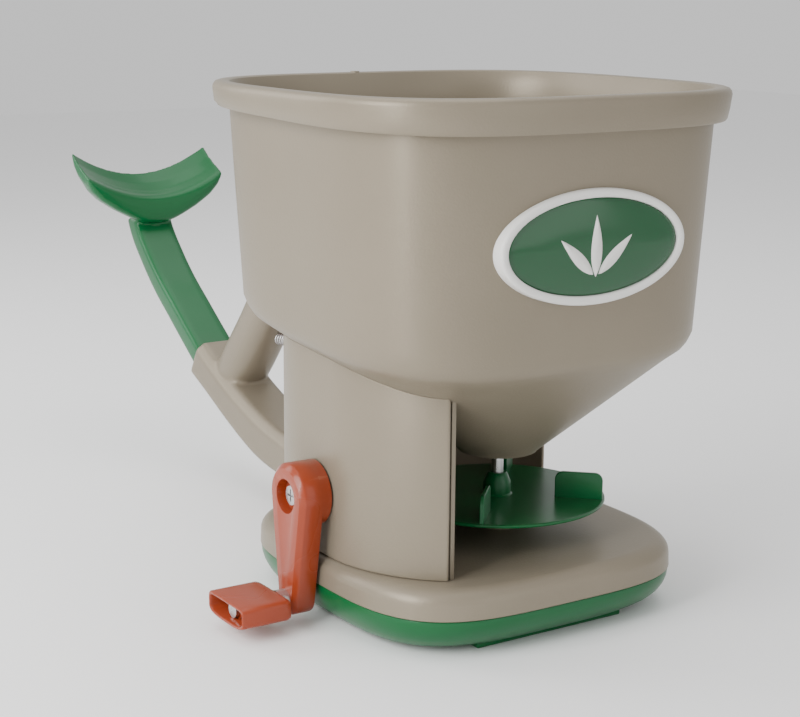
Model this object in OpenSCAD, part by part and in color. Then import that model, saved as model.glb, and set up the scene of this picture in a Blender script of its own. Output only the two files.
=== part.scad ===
// Hand-held crank spreader for seed and granules: a hopper over a spinning disc, turned by a crank
// through spur and bevel gears, with a trigger-worked gate, a grip and a forearm rest.
// Frame: +X forward (throw direction), +Y the operator's left, crank on -Y, origin on the housing
// axis at the standing plane.

/* [Hopper] */
// Height of the rim above the ground
rim_z = 250; // [235:1:300]
// Half length of the rim, front to back
rim_hx = 106.5; // [102:0.5:115]
// Half width of the rim
rim_hy = 108; // [103:0.5:116]
// Height of the rim band
rim_band = 15.5; // [12:0.5:20]
// Inset of the bin wall under the rim band
rim_step = 9; // [6:0.5:12]
// Inset of the bin wall at its foot, from the rim
foot_inset = 14; // [11:0.5:18]
// Height of the break between wall and funnel, at the middle
break_z = 139; // [130:1:150]
// Tilt of that break, rising to the rear
break_tilt = 4.6; // [0:0.1:8]
// Corner radius of the bin
bin_corner = 56; // [40:1:64]
// Wall thickness of the mouldings
wall = 2.5; // [2:0.1:3.5]
// Outer radius of the outlet neck
neck_r = 19.6; // [18:0.1:21]
// Underside of the outlet floor
neck_z = 72.5; // [70:0.5:76]
// Half width of the oval badge
badge_hy = 51; // [44:0.5:56]
// Half height of the oval badge
badge_hz = 25.5; // [20:0.5:30]
// Height of the badge centre
badge_z = 184.5; // [180:0.5:190]

/* [Housing and base] */
// Outer radius of the round housing
housing_r = 83; // [80:0.5:86]
// Housing corner radius in plan
housing_corner = 70; // [62:1:78]
// Half length of the base pan
base_hx = 89; // [87:0.5:93]
// Half width of the base pan
base_hy = 86.6; // [85:0.1:87]
// Corner radius of the base pan
base_corner = 50; // [35:1:56]
// Height of the seam between pan and tray
seam_z = 19; // [17:0.5:21]
// Top face of the deck
deck_z = 33; // [32:0.5:36]
// Underside of the tray floor
tray_z = 2.7; // [2:0.1:4]

/* [Spreading disc] */
// Spindle position forward of the housing axis
spin_x = 13; // [8:0.5:16]
// Spindle position to the left of the housing axis
spin_y = 12; // [9:0.5:14]
// Radius of the disc
disc_r = 53; // [46:0.5:54]
// Height of the disc's upper face
disc_z = 50; // [47:0.5:52]
// Height of the vanes above the disc
vane_h = 13; // [8:0.5:15]
// Number of vanes
vane_count = 4; // [3:1:6]
// Radius of the spindle
spindle_r = 3; // [2.5:0.1:3.5]

/* [Crank and gears] */
// Height of the crank axis
crank_z = 62.5; // [61:0.5:66]
// Radius of the crank shaft
crank_shaft_r = 4; // [3:0.1:5]
// Distance from the crank axis to the knob's pin
crank_throw = 50.5; // [40:0.5:51]
// Radius of the crank's hub
crank_hub_r = 15.5; // [13:0.5:18]
// Teeth on the crank gear
crank_teeth = 60; // [60:1:60]
// Teeth on the pinion
pinion_teeth = 14; // [14:1:14]
// Teeth on each bevel gear
bevel_teeth = 16; // [16:1:16]
// Pitch radius of the bevel gears at their large end
bevel_r = 9; // [8.5:0.1:9.3]
// Height of the cross shaft
cross_z = 18; // [17.5:0.1:18.5]
// Radius of the cross shaft
cross_r = 2.5; // [2:0.1:3]
// Face width of the spur gears
gear_w = 7; // [5:0.5:8]
// Width of the knob
knob_w = 34.5; // [28:0.5:38]
// Thickness of the knob
knob_t = 11.5; // [10:0.5:13]
// Length of the knob
knob_l = 26; // [22:0.5:40]

/* [Handle and trigger] */
// Width of the grip
grip_w = 28; // [24:1:34]
// Depth of the grip
grip_d = 28; // [24:1:32]
// Travel of the gate
gate_travel = 13; // [10:0.5:14]
// Lever from the trigger's pivot to the gate's pin
lever = 36; // [32:0.5:40]
// Width of the trigger
trigger_w = 12; // [10:0.5:14]

/* [Arm rest] */
// Width of the stem
stem_w = 26; // [22:0.5:30]
// Thickness of the stem
stem_t = 14; // [11:0.5:16]
// Slope of the stem
stem_tilt = 37.5; // [34:0.1:44]
// Width across the saddle's horns
saddle_w = 94; // [80:1:100]
// Radius of the saddle's trough
saddle_r = 74; // [66:1:90]
// Length of the saddle
saddle_l = 36; // [28:1:40]

/* [Fits] */
// Radial clearance of a shaft in its bush
run_gap = 0.06; // [0.03:0.01:0.09]
// Clearance between sliding parts
slide_gap = 0.35; // [0.2:0.05:0.5]
// Clearance in the stem's socket
socket_gap = 0.1; // [0.05:0.05:0.3]

/* [Hidden] */
$fn = 72;
e = 0.01;
thin = 0.2;

// hopper stations
wall_hx = rim_hx - rim_step;
wall_hy = rim_hy - rim_step;
foot_hx = rim_hx - foot_inset;
foot_hy = rim_hy - foot_inset;
floor_t = 2.5;
neck_in = neck_r - 2.2;
badge_x = wall_hx - 1.2;
bezel_t = 2.6;
bezel_w = 4;

// housing: the open mouth runs from the crank side's front edge round to the far side
mouth_from = -38.7;
mouth_to = 114.2;
housing_in = housing_r - wall;
panel_y = -53;
panel_t = 2.2;

// gears
train_dx = spin_x;
train_dz = cross_z - crank_z;
train_c = sqrt(train_dx * train_dx + train_dz * train_dz);
train_m = 2 * train_c / (crank_teeth + pinion_teeth);
train_a = atan2(train_dz, train_dx);
gear_y = -66;
gear_play = 0.14;
bevel_l = 3.5;
cross_from = -74;
rib_t = 6;
outer_rib_y = -76;
inner_rib_y = -12;

// crank stack
hub_back = -84;
crank_front = -100;
arm_t = 12;
arm_end_r = 8;
knob_in = -105.5;
knob_x = -1;
pin_z = crank_z - sqrt(crank_throw * crank_throw - knob_x * knob_x);
pin_r = 3;

// handle and trigger
grip_top = [-188, 117];
grip_foot = [-241, 56];
bridge_end = [-80, 122];
bridge_t = 22;
rod_z = 75.8;
rod_y = spin_y;
gate_pin_x = -160;
lean = atan(gate_travel / 2 / lever);
pivot_x = gate_pin_x - lever * tan(lean);
pivot_z = rod_z + lever;
gate_pin_r = 2;
pivot_r = 2.5;
dial_x = pivot_x + 14.5;
dial_z = pivot_z + 7;
dial_r = 12;
stem_at = [-300, 91.5];
stem_top = 70;
stem_foot = 58;
// The bracket's side, from the pan out to the end of the socket and back along its underside
bracket_side = [[-80, 40], [-152, 40], [-187, 46], [-213, 53.5], [-236, 63], [-258.5, 74.5],
    [-271.5, 57.8], [-254, 45.5], [-238, 40.5], [-220, 36.2], [-185, 24.3], [-164, 20], [-80, 20]];
saddle_at = [-365, 165.2];
saddle_tilt = 27;
base_posts = [for (x = [-56, 56], y = [-57, 57]) [x, y]];
shoulder_z = seam_z + 7;
bracket_bolt_z = seam_z + 3.6;
tray_foot = [76.6, 81.7];
lug_angles = [140, 200, 250];
bridge_bolts = [116, 128];
bracket_bolts = [-10, 10];

// ---- shapes ----

module rounded(hx, hy, r) {
    square([2 * hx, 2 * (hy - r)], center = true);
    square([2 * (hx - r), 2 * hy], center = true);
    for (i = [-1, 1], j = [-1, 1]) translate([i * (hx - r), j * (hy - r)]) circle(r);
}

module bar(p, q, t) {
    d = q - p;
    translate(p) rotate(atan2(d[1], d[0])) translate([0, -t / 2]) square([norm(d), t]);
    translate(q) circle(t / 2 - 0.3);
}

// an outline drawn in X and Z, given a width along Y
module side_on(y0, y1) {
    translate([0, y1, 0]) rotate([90, 0, 0]) linear_extrude(y1 - y0) children();
}

module screw_z(x, y, z, l, r = 1.75) {
    translate([x, y, z]) cylinder(h = 2.2, r = 2 * r);
    translate([x, y, z + 2.2 - e]) cylinder(h = l, r = r);
}

function ellipse(a, b, n = 64) = [for (i = [0:n - 1]) [a * cos(360 * i / n), b * sin(360 * i / n)]];

function inv_angle(p) = tan(p) * 180 / PI - p;

// half angle of an involute tooth at radius r
function half_tooth(r, t, m, play, pa = 25) =
    let (rp = t * m / 2, rb = rp * cos(pa))
    90 / t - play / rp * 180 / PI + inv_angle(pa) - (r > rb ? inv_angle(acos(rb / r)) : 0);

module spur(t, m, play) {
    rp = t * m / 2;
    radii = [for (i = [0:4]) rp - 1.2 * m + i * 0.55 * m];
    polygon([for (k = [0:t - 1], s = [-1, 1], i = [0:4])
        let (r = radii[s < 0 ? i : 4 - i], a = 360 * k / t + s * half_tooth(r, t, m, play))
        [r * cos(a), r * sin(a)]]);
}

// straight bevel gear, apex at the origin, teeth towards it, big end up at z = rp
module bevel(turn) {
    rp = bevel_r;
    ro = rp * 1.16;
    ri = rp * 0.79;
    small = (rp - bevel_l) / rp;
    translate([0, 0, rp - bevel_l]) linear_extrude(bevel_l, scale = 1 / small)
        rotate(turn) polygon([for (k = [0:bevel_teeth - 1], s = [-1, 1], i = [0, 1])
            let (r = (s < 0) == (i == 0) ? ri : ro,
                h = 90 / bevel_teeth - 1.3 - (r - rp) / r * 13,
                a = 360 * k / bevel_teeth + s * h)
            [small * r * cos(a), small * r * sin(a)]]);
    translate([0, 0, rp - e]) cylinder(h = 2.5, r = ri);
}

// ---- hopper ----

module break_slice(inset) {
    translate([0, 0, break_z]) rotate([0, break_tilt, 0])
        linear_extrude(thin) rounded(foot_hx - inset, foot_hy - inset, bin_corner - inset);
}

module funnel_form(inset) {
    hull() {
        break_slice(inset);
        translate([spin_x, spin_y, neck_z + (inset > 0 ? floor_t : 0)])
            cylinder(h = thin, r = neck_r - (inset > 0 ? neck_r - neck_in : inset), $fn = 48);
    }
}

module bin_form(inset) {
    hull() {
        break_slice(inset);
        translate([0, 0, rim_z - rim_band]) linear_extrude(thin)
            rounded(wall_hx - inset, wall_hy - inset, bin_corner - inset);
    }
}

module hopper() {
    color([0.63, 0.59, 0.51]) difference() {
        union() {
            translate([0, 0, rim_z - rim_band]) linear_extrude(rim_band)
                rounded(rim_hx, rim_hy, bin_corner + 4);
            bin_form(0);
            funnel_form(0);
            translate([75, 0, badge_z]) rotate([0, 90, 0]) linear_extrude(badge_x - 75)
                rotate(90) polygon(ellipse(badge_hy, badge_hz));
            for (a = lug_angles) rotate(a) translate([housing_in - 7, 0, 108])
                cylinder(h = 30, r = 4.5);
            translate([-rim_hx + 6, -4, rim_z - 1]) cube([7, 8, 3], center = true);
        }
        translate([0, 0, rim_z - rim_band]) linear_extrude(rim_band + 1)
            rounded(wall_hx - wall, wall_hy - wall, bin_corner - wall);
        bin_form(wall);
        funnel_form(wall);
        for (a = lug_angles) rotate(a) translate([housing_in - 7, 0, 107])
            cylinder(h = 8, r = 1.75);
        translate([spin_x, spin_y, neck_z - 1]) cylinder(h = floor_t + 2, r = 5.5);
        for (s = [-1, 1]) translate([spin_x - 5, spin_y + s * 9.2 - 3.2, neck_z - 1])
            cube([12, 6.4, floor_t + 2]);
        translate([spin_x - 40, spin_y - 14 - slide_gap, rod_z - 0.75 - 0.05])
            cube([34, 2 * (14 + slide_gap), 1.5 + slide_gap]);
    }
}

module badge_bezel() {
    color([0.75, 0.74, 0.68]) translate([badge_x, 0, badge_z]) rotate([0, 90, 0]) difference() {
        linear_extrude(bezel_t) rotate(90) polygon(ellipse(badge_hy, badge_hz));
        translate([0, 0, 1]) linear_extrude(bezel_t)
            rotate(90) polygon(ellipse(badge_hy - bezel_w, badge_hz - bezel_w));
    }
}

module badge_face() {
    color([0.03, 0.4, 0.2]) translate([badge_x + 1, 0, badge_z]) rotate([0, 90, 0])
        linear_extrude(1.2) rotate(90)
            polygon(ellipse(badge_hy - bezel_w - 0.1, badge_hz - bezel_w - 0.1));
}

// ---- housing and base ----

module mouth_cut(z0, h) {
    big = 2 * housing_r;
    a = mouth_from;
    b = mouth_to;
    translate([0, 0, z0]) linear_extrude(h) polygon([[0, 0], big * [cos(a), sin(a)],
        big * [cos(0), sin(0)], big * [cos(60), sin(60)], big * [cos(b), sin(b)]]);
}

// the housing's plan, grown or shrunk, drawn upwards
module drum(h, grow) {
    linear_extrude(h) rounded(housing_r + grow, housing_r + grow, housing_corner + grow);
}

module housing() {
    top = break_z + 20;
    color([0.62, 0.58, 0.5]) difference() {
        union() {
            difference() {
                translate([0, 0, deck_z]) drum(top - deck_z, 0);
                translate([0, 0, deck_z - 1]) drum(top - deck_z + 2, -wall);
                mouth_cut(deck_z - 1, top);
            }
            intersection() {
                drum(top, 0.5 - wall);
                for (a = lug_angles) rotate(a) translate([housing_in - 14, -6, 104])
                    cube([20, 12, 4]);
            }
            translate([0, hub_back + 1.5, crank_z]) rotate([-90, 0, 0]) cylinder(h = 12.5, r = 9);
            for (x = [-48, 48], z = [46, 84]) intersection() {
                drum(top, 0.5 - wall);
                translate([x, panel_y, z]) rotate([90, 0, 0]) cylinder(h = 40, r = 4);
            }
        }
        translate([0, 0, -0.05]) bin_form(0);
        translate([0, 0, -0.05]) funnel_form(0);
        translate([0, hub_back, crank_z]) rotate([-90, 0, 0]) cylinder(h = 20, r = 6);
        for (a = lug_angles) rotate(a) translate([housing_in - 7, 0, 100]) cylinder(h = 10, r = 2);
        for (x = [-48, 48], z = [46, 84]) translate([x, panel_y + 1, z]) rotate([90, 0, 0])
            cylinder(h = 10, r = 1.75);
        translate([-housing_r - 5, rod_y - 5, rod_z - 3]) cube([12, 10, 6]);
        for (z = bridge_bolts) translate([-housing_r - 5, 0, z]) rotate([0, 90, 0])
            cylinder(h = 10, r = 2);
    }
}

module pan_form(inset) {
    translate([0, 0, seam_z]) linear_extrude(shoulder_z - seam_z)
        rounded(base_hx - inset, base_hy - inset, base_corner - inset);
    translate([0, 0, shoulder_z - e])
        linear_extrude(deck_z - shoulder_z - inset, scale = (base_hx - 7) / base_hx)
            rounded(base_hx - inset, base_hy - inset, base_corner - inset);
}

module base_pan() {
    color([0.62, 0.58, 0.5]) difference() {
        union() {
            difference() {
                pan_form(0);
                translate([0, 0, -e]) pan_form(wall);
            }
            for (p = base_posts) translate([p[0], p[1], tray_z + 2.2])
                cylinder(h = deck_z - 1 - tray_z - 2.2, r = 4.5);
            translate([spin_x - 7, inner_rib_y, cross_z - 7]) cube([14, rib_t, deck_z - 1 - cross_z + 7]);
            translate([spin_x - 7, outer_rib_y, cross_z - 7]) cube([14, rib_t, deck_z - 1 - cross_z + 7]);
            translate([spin_x, spin_y, deck_z - e]) cylinder(h = 5, r = 8);
        }
        for (p = base_posts) translate([p[0], p[1], 0]) cylinder(h = 16, r = 1.75);
        translate([spin_x, spin_y, 28]) cylinder(h = 12, r = 5);
        translate([spin_x, outer_rib_y - 2, cross_z]) rotate([-90, 0, 0]) cylinder(h = 80, r = 4.5);
        translate([-32, gear_y - 1, 22]) cube([64, gear_w + 2, 14]);
        for (y = bracket_bolts) translate([-base_hx - 5, y, bracket_bolt_z]) rotate([0, 90, 0])
            cylinder(h = 10, r = 2);
    }
}

module gear_cover() {
    flat = housing_r - housing_corner;
    half = flat + sqrt(pow(housing_corner - wall, 2) - pow(panel_y + flat, 2)) - 0.2;
    color([0.55, 0.52, 0.45]) difference() {
        union() {
            translate([-half, panel_y, deck_z]) cube([2 * half, panel_t, 90]);
            translate([0, panel_y - 4, crank_z]) rotate([-90, 0, 0]) cylinder(h = 4 + panel_t, r = 9);
        }
        translate([0, 0, -0.3]) funnel_form(0);
        translate([0, panel_y - 6, crank_z]) rotate([-90, 0, 0]) cylinder(h = 12, r = 6);
        for (x = [-48, 48], z = [46, 84]) translate([x, panel_y - 1, z]) rotate([-90, 0, 0])
            cylinder(h = 5, r = 2);
    }
}

module base_tray() {
    top_hx = base_hx - 0.4;
    top_hy = base_hy - 0.4;
    tray_h = seam_z - tray_z;
    k = [tray_foot[0] / top_hx, tray_foot[1] / top_hy];
    color([0.0, 0.42, 0.22]) difference() {
        union() {
            difference() {
                translate([0, 0, seam_z]) mirror([0, 0, 1])
                    linear_extrude(tray_h, scale = k, slices = 1) rounded(top_hx, top_hy, base_corner);
                translate([0, 0, seam_z + e]) mirror([0, 0, 1])
                    linear_extrude(tray_h - 2.2 + e, scale = k, slices = 1)
                        rounded(top_hx - 2.2, top_hy - 2.2, base_corner - 2.2);
            }
            for (x = [-74, 66]) translate([x, -42, 0]) cube([8, 84, tray_z + 1]);
            cylinder(h = tray_z + 1, r = 9);
            translate([spin_x, spin_y, tray_z + 1]) cylinder(h = 6.3, r = 7);
        }
        translate([spin_x, spin_y, tray_z + 2.2]) cylinder(h = 10, r = 5);
        for (p = base_posts) translate([p[0], p[1], 0]) cylinder(h = 8, r = 2);
    }
}

// ---- handle ----

module stem_frame() {
    translate([stem_at[0], 0, stem_at[1]]) rotate([0, stem_tilt, 0]) children();
}

module handle() {
    color([0.62, 0.58, 0.5]) difference() {
        union() {
            side_on(-grip_w / 2, grip_w / 2) {
                bar(grip_foot, grip_top, grip_d);
                bar(bridge_end, grip_top, bridge_t);
            }
            side_on(-17, 17) polygon(bracket_side);
        }
        translate([0, 0, deck_z]) drum(200, 0.02);
        translate([-70, -40, 0]) cube([80, 80, 200]);
        translate([0, 0, -10]) linear_extrude(deck_z + 10.5) rounded(base_hx, base_hy, base_corner);
        stem_frame() translate([stem_foot - 90, -stem_w / 2 - socket_gap, -stem_t / 2 - socket_gap])
            cube([90, stem_w + 2 * socket_gap, stem_t + 2 * socket_gap]);
        stem_frame() translate([50, 0, 0]) rotate([90, 0, 0]) cylinder(h = 40, r = 1.75, center = true);
        translate([pivot_x - 12, -trigger_w / 2 - 0.6, pivot_z - 14])
            cube([34, trigger_w + 1.2, 28.5]);
        translate([pivot_x, 0, pivot_z]) rotate([90, 0, 0]) cylinder(h = 60, r = pivot_r, center = true);
        translate([dial_x, 0, dial_z]) rotate([90, 0, 0])
            cylinder(h = 60, r = 3 + run_gap, center = true);
        for (z = bridge_bolts) translate([-housing_r - 14, 0, z]) rotate([0, 90, 0])
            cylinder(h = 20, r = 1.75);
        for (y = bracket_bolts) translate([-base_hx - 14, y, bracket_bolt_z]) rotate([0, 90, 0])
            cylinder(h = 20, r = 1.75);
        translate([-housing_r - 20, rod_y - 5, rod_z - 3]) cube([30, 10, 6]);
    }
}

module arm_rest() {
    color([0.0, 0.36, 0.19]) {
        stem_frame() difference() {
            translate([-stem_top, -stem_w / 2, -stem_t / 2]) cube([stem_top + stem_foot, stem_w, stem_t]);
            translate([50, 0, 0]) rotate([90, 0, 0]) cylinder(h = 40, r = 1.75, center = true);
        }
        difference() {
            hull() {
                stem_frame() translate([-stem_top - 0.5, -stem_w / 2 - 0.5, -stem_t / 2 - 0.5])
                    cube([8, stem_w + 1, stem_t + 1]);
                translate([saddle_at[0], 0, saddle_at[1]]) rotate([0, saddle_tilt, 0])
                    translate([-saddle_l / 2, -saddle_w / 2, 10]) cube([saddle_l, saddle_w, 6]);
            }
            translate([saddle_at[0], 0, saddle_at[1]]) rotate([0, saddle_tilt, 0])
                translate([-60, 0, saddle_r]) rotate([0, 90, 0]) cylinder(h = 120, r = saddle_r, $fn = 160);
        }
    }
}

// ---- screws and bushes ----

module steel() {
    color([0.7, 0.7, 0.72]) children();
}

module handle_screws() {
    steel() {
        for (z = bridge_bolts) translate([-housing_in + 2.4, 0, z]) rotate([0, -90, 0])
            screw_z(0, 0, 0, 14);
        for (y = bracket_bolts) translate([-base_hx + wall + 2.3, y, bracket_bolt_z]) rotate([0, -90, 0])
            screw_z(0, 0, 0, 12);
    }
}

module hopper_screws() {
    steel() for (a = lug_angles) rotate(a) screw_z(housing_in - 7, 0, 101.8, 11);
}

module cover_screws() {
    steel() for (x = [-48, 48], z = [46, 84])
        translate([x, panel_y + panel_t + 2.2, z]) rotate([90, 0, 0]) screw_z(0, 0, 0, 10);
}

module base_screws() {
    steel() for (p = base_posts) screw_z(p[0], p[1], tray_z - 2.2, 12);
}

module stem_screw() {
    steel() stem_frame() translate([50, 17 + 2.2, 0]) rotate([90, 0, 0]) screw_z(0, 0, 0, 30);
}

module bush(h, r_in, r_out) {
    color([0.85, 0.83, 0.76]) difference() {
        cylinder(h = h, r = r_out);
        translate([0, 0, -1]) cylinder(h = h + 2, r = r_in + run_gap);
    }
}

module outlet_bush() {
    translate([spin_x, spin_y, neck_z]) bush(floor_t, spindle_r, 5.5);
}

module deck_bush() {
    translate([spin_x, spin_y, deck_z - wall]) bush(7.4, spindle_r, 5);
}

module thrust_bush() {
    translate([spin_x, spin_y, tray_z + 2.2]) bush(5.1, spindle_r, 5);
}

module crank_bush() {
    translate([0, hub_back + 1.5, crank_z]) rotate([-90, 0, 0]) bush(12.5, crank_shaft_r, 6);
}

module inner_bush() {
    translate([0, panel_y - 4, crank_z]) rotate([-90, 0, 0]) bush(4 + panel_t, crank_shaft_r, 6);
}

module cross_bushes() {
    for (y = [outer_rib_y, inner_rib_y]) translate([spin_x, y, cross_z]) rotate([-90, 0, 0])
        bush(rib_t, cross_r, 4.5);
}

// ---- spreading disc ----

module disc() {
    color([0, 0.42, 0.22]) translate([spin_x, spin_y, 0]) difference() {
        union() {
            translate([0, 0, disc_z - 1.8]) cylinder(h = 1.8, r = disc_r);
            translate([0, 0, disc_z - 5]) cylinder(h = 11, r = 6.8);
            translate([0, 0, disc_z + 6 - e]) cylinder(h = 5, r1 = 6.8, r2 = 4.6);
            for (i = [0:vane_count - 1]) rotate(46 + i * 360 / vane_count)
                translate([0, 1, disc_z - e]) rotate([90, 0, 0]) linear_extrude(2) {
                    translate([disc_r * 0.54, 0]) square([disc_r * 0.44, vane_h - 4]);
                    translate([disc_r * 0.54 + 4, 0]) square([disc_r * 0.44 - 8, vane_h]);
                    for (x = [disc_r * 0.54 + 4, disc_r * 0.98 - 4]) translate([x, vane_h - 4]) circle(4);
                }
        }
        translate([0, 0, disc_z - 10]) cylinder(h = 30, r = spindle_r);
    }
}

module spindle() {
    steel() translate([spin_x, spin_y, tray_z + 2.2]) cylinder(h = 92 - tray_z - 2.2, r = spindle_r);
}

module spindle_bevel() {
    color([0.85, 0.83, 0.76]) translate([spin_x, spin_y, cross_z]) difference() {
        bevel(0);
        translate([0, 0, -1]) cylinder(h = 30, r = spindle_r);
    }
}

module agitator() {
    color([0.8, 0.78, 0.7]) translate([spin_x, spin_y, 84]) difference() {
        union() {
            cylinder(h = 8, r = 5);
            for (a = [20, 200]) rotate(a) translate([3, 0, 4]) rotate([0, 75, 0]) cylinder(h = 12, r = 1.6);
        }
        translate([0, 0, -1]) cylinder(h = 10, r = spindle_r);
    }
}

// ---- gear train ----

module cross_shaft() {
    steel() translate([spin_x, cross_from, cross_z]) rotate([-90, 0, 0])
        cylinder(h = spin_y - spindle_r - 1.5 - cross_from, r = cross_r);
}

module cross_pinion() {
    color([0.85, 0.83, 0.76]) difference() {
        translate([spin_x, gear_y + gear_w, cross_z]) rotate([90, 0, 0]) linear_extrude(gear_w)
            rotate(train_a + 180 + 180 / pinion_teeth) spur(pinion_teeth, train_m, gear_play);
        translate([spin_x, gear_y - 1, cross_z]) rotate([-90, 0, 0]) cylinder(h = 10, r = cross_r);
    }
}

module cross_bevel() {
    color([0.85, 0.83, 0.76]) translate([spin_x, spin_y, cross_z]) rotate([90, 0, 0]) difference() {
        bevel(180 / bevel_teeth);
        translate([0, 0, -1]) cylinder(h = 30, r = cross_r);
    }
}

module crank_shaft() {
    steel() translate([0, crank_front + 8, crank_z]) rotate([-90, 0, 0])
        cylinder(h = panel_y + panel_t - crank_front - 8, r = crank_shaft_r);
}

module crank_gear() {
    color([0.85, 0.83, 0.76]) translate([0, gear_y + gear_w, crank_z]) rotate([90, 0, 0]) difference() {
        union() {
            linear_extrude(gear_w) difference() {
                rotate(train_a) spur(crank_teeth, train_m, gear_play);
                circle(crank_teeth * train_m / 2 - 5);
            }
            linear_extrude(2.5) circle(crank_teeth * train_m / 2 - 4);
            cylinder(h = gear_w, r = 8);
            for (a = [0:60:300]) rotate(a) translate([7, -1, 0]) cube([26, 2, gear_w - 1]);
        }
        translate([0, 0, -1]) cylinder(h = 10, r = crank_shaft_r);
    }
}

// ---- crank ----

module crank_outline() {
    d = norm([knob_x, pin_z - crank_z]);
    a = atan2(pin_z - crank_z, knob_x);
    s = acos((crank_hub_r - arm_end_r) / d);
    translate([0, crank_z]) circle(crank_hub_r);
    translate([knob_x, pin_z]) circle(arm_end_r);
    polygon([
        [crank_hub_r * cos(a + s), crank_z + crank_hub_r * sin(a + s)],
        [knob_x + arm_end_r * cos(a + s), pin_z + arm_end_r * sin(a + s)],
        [knob_x + arm_end_r * cos(a - s), pin_z + arm_end_r * sin(a - s)],
        [crank_hub_r * cos(a - s), crank_z + crank_hub_r * sin(a - s)]]);
}

module crank_arm() {
    color([0.62, 0.27, 0.17]) difference() {
        union() {
            side_on(crank_front, crank_front + arm_t) crank_outline();
            translate([0, crank_front, crank_z]) rotate([-90, 0, 0])
                cylinder(h = hub_back - crank_front, r = crank_hub_r);
        }
        translate([0, crank_front - 1, crank_z]) rotate([-90, 0, 0]) cylinder(h = 6, r = 8.2);
        translate([0, crank_front + 4, crank_z]) rotate([-90, 0, 0]) cylinder(h = 4.02, r = 2.2);
        translate([0, crank_front + 8, crank_z]) rotate([-90, 0, 0]) cylinder(h = 20, r = crank_shaft_r);
        translate([knob_x, crank_front - 1, pin_z]) rotate([-90, 0, 0]) cylinder(h = 9, r = pin_r);
    }
}

module crank_screw() {
    steel() translate([0, crank_front + 2.8, crank_z]) rotate([-90, 0, 0]) difference() {
        union() {
            cylinder(h = 2.2, r = 4.6);
            translate([0, 0, 2.2 - e]) cylinder(h = 3, r = 2.2);
        }
        translate([0, 0, 0.5]) cube([6, 1, 1.2], center = true);
        translate([0, 0, 0.5]) cube([1, 6, 1.2], center = true);
    }
}

module knob_section(inset) {
    h = knob_t - 2 * inset;
    w = knob_w - 2 * inset;
    translate([0, inset]) difference() {
        translate([0, -knob_t / 2]) union() {
            intersection() {
                translate([0, w * 0.72]) circle(w * 0.72);
                square([w, 2 * h], center = true);
            }
            translate([-w / 2, 4]) square([w, h - 4]);
        }
        translate([-w, h - knob_t / 2]) square([2 * w, 2 * w]);
    }
}

module knob() {
    color([0.62, 0.27, 0.17]) translate([knob_x, knob_in, pin_z]) rotate([90, 0, 0]) difference() {
        union() {
            difference() {
                linear_extrude(knob_l) knob_section(0);
                translate([0, 0, 2.5]) linear_extrude(knob_l) knob_section(1.8);
            }
            intersection() {
                cylinder(h = knob_l - 6, r = pin_r + 2);
                linear_extrude(knob_l) knob_section(0.2);
            }
        }
        translate([0, 0, -1]) cylinder(h = knob_l, r = pin_r + run_gap);
    }
}

module knob_pin() {
    steel() translate([knob_x, 0, pin_z]) rotate([90, 0, 0]) {
        translate([0, 0, -crank_front - 8]) cylinder(h = knob_l - 6 + 8 - crank_front + knob_in + 11.4, r = pin_r);
        translate([0, 0, -knob_in + knob_l - 5.7]) cylinder(h = 2, r = pin_r + 0.7);
        translate([0, 0, -crank_front]) cylinder(h = crank_front - knob_in - 0.3, r = 5);
    }
}

// ---- gate, trigger and dial ----

module gate() {
    color([0.85, 0.83, 0.76]) {
        difference() {
            union() {
                intersection() {
                    translate([spin_x, spin_y, rod_z - 0.75]) cylinder(h = 1.5, r = neck_in - 0.5);
                    translate([spin_x - 30, spin_y - 14, 0]) cube([38.5, 28, 100]);
                }
                translate([spin_x - 38, spin_y - 14, rod_z - 0.75]) cube([34, 28, 1.5]);
            }
            translate([spin_x - 4.5, spin_y - spindle_r - 0.7, 0]) cube([40, 2 * spindle_r + 1.4, 100]);
        }
        translate([gate_pin_x - 5, rod_y - 4, rod_z - 1.5])
            cube([spin_x - 38 + 4 - gate_pin_x + 5, 8, 3]);
        translate([gate_pin_x, -trigger_w / 2, rod_z]) rotate([-90, 0, 0])
            cylinder(h = rod_y - 3 + trigger_w / 2, r = gate_pin_r);
    }
}

module trigger() {
    foot = [pivot_x + 50 * sin(lean), pivot_z - 50 * cos(lean)];
    tail = [pivot_x - 9 * sin(lean), pivot_z + 9 * cos(lean)];
    reach = lever / cos(lean);
    color([0.62, 0.27, 0.17]) side_on(-trigger_w / 2, trigger_w / 2) difference() {
        union() {
            bar([pivot_x, pivot_z], foot, 9);
            bar([pivot_x, pivot_z], tail, 5);
            translate([pivot_x, pivot_z]) circle(5.2);
            translate([gate_pin_x, rod_z]) circle(6.5);
        }
        translate([pivot_x, pivot_z]) circle(pivot_r + run_gap);
        translate([pivot_x, pivot_z]) rotate(lean)
            translate([-gate_pin_r - slide_gap, -reach - 4]) square([2 * (gate_pin_r + slide_gap), 7]);
    }
}

module trigger_pin() {
    steel() translate([pivot_x, 0, pivot_z]) rotate([90, 0, 0])
        cylinder(h = grip_w, r = pivot_r, center = true);
}

// coil of the return spring, swept round the trigger's tail recess
function coil_ring(i, n, turns, r, wire, h) =
    let (a = 360 * turns * i / n)
    [for (k = [0:7]) let (b = 45 * k)
        [(r + wire * cos(b)) * cos(a), (r + wire * cos(b)) * sin(a), h * i / n + wire * sin(b)]];

module coil(turns, r, wire, h) {
    n = round(14 * turns);
    points = [for (i = [0:n]) each coil_ring(i, n, turns, r, wire, h)];
    sides = [for (i = [0:n - 1], k = [0:7])
        let (a = 8 * i + k, b = 8 * i + (k + 1) % 8) [a, a + 8, b + 8, b]];
    ends = [[for (k = [0:7]) k], [for (k = [7:-1:0]) 8 * n + k]];
    polyhedron(points, concat(sides, ends));
}

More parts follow.
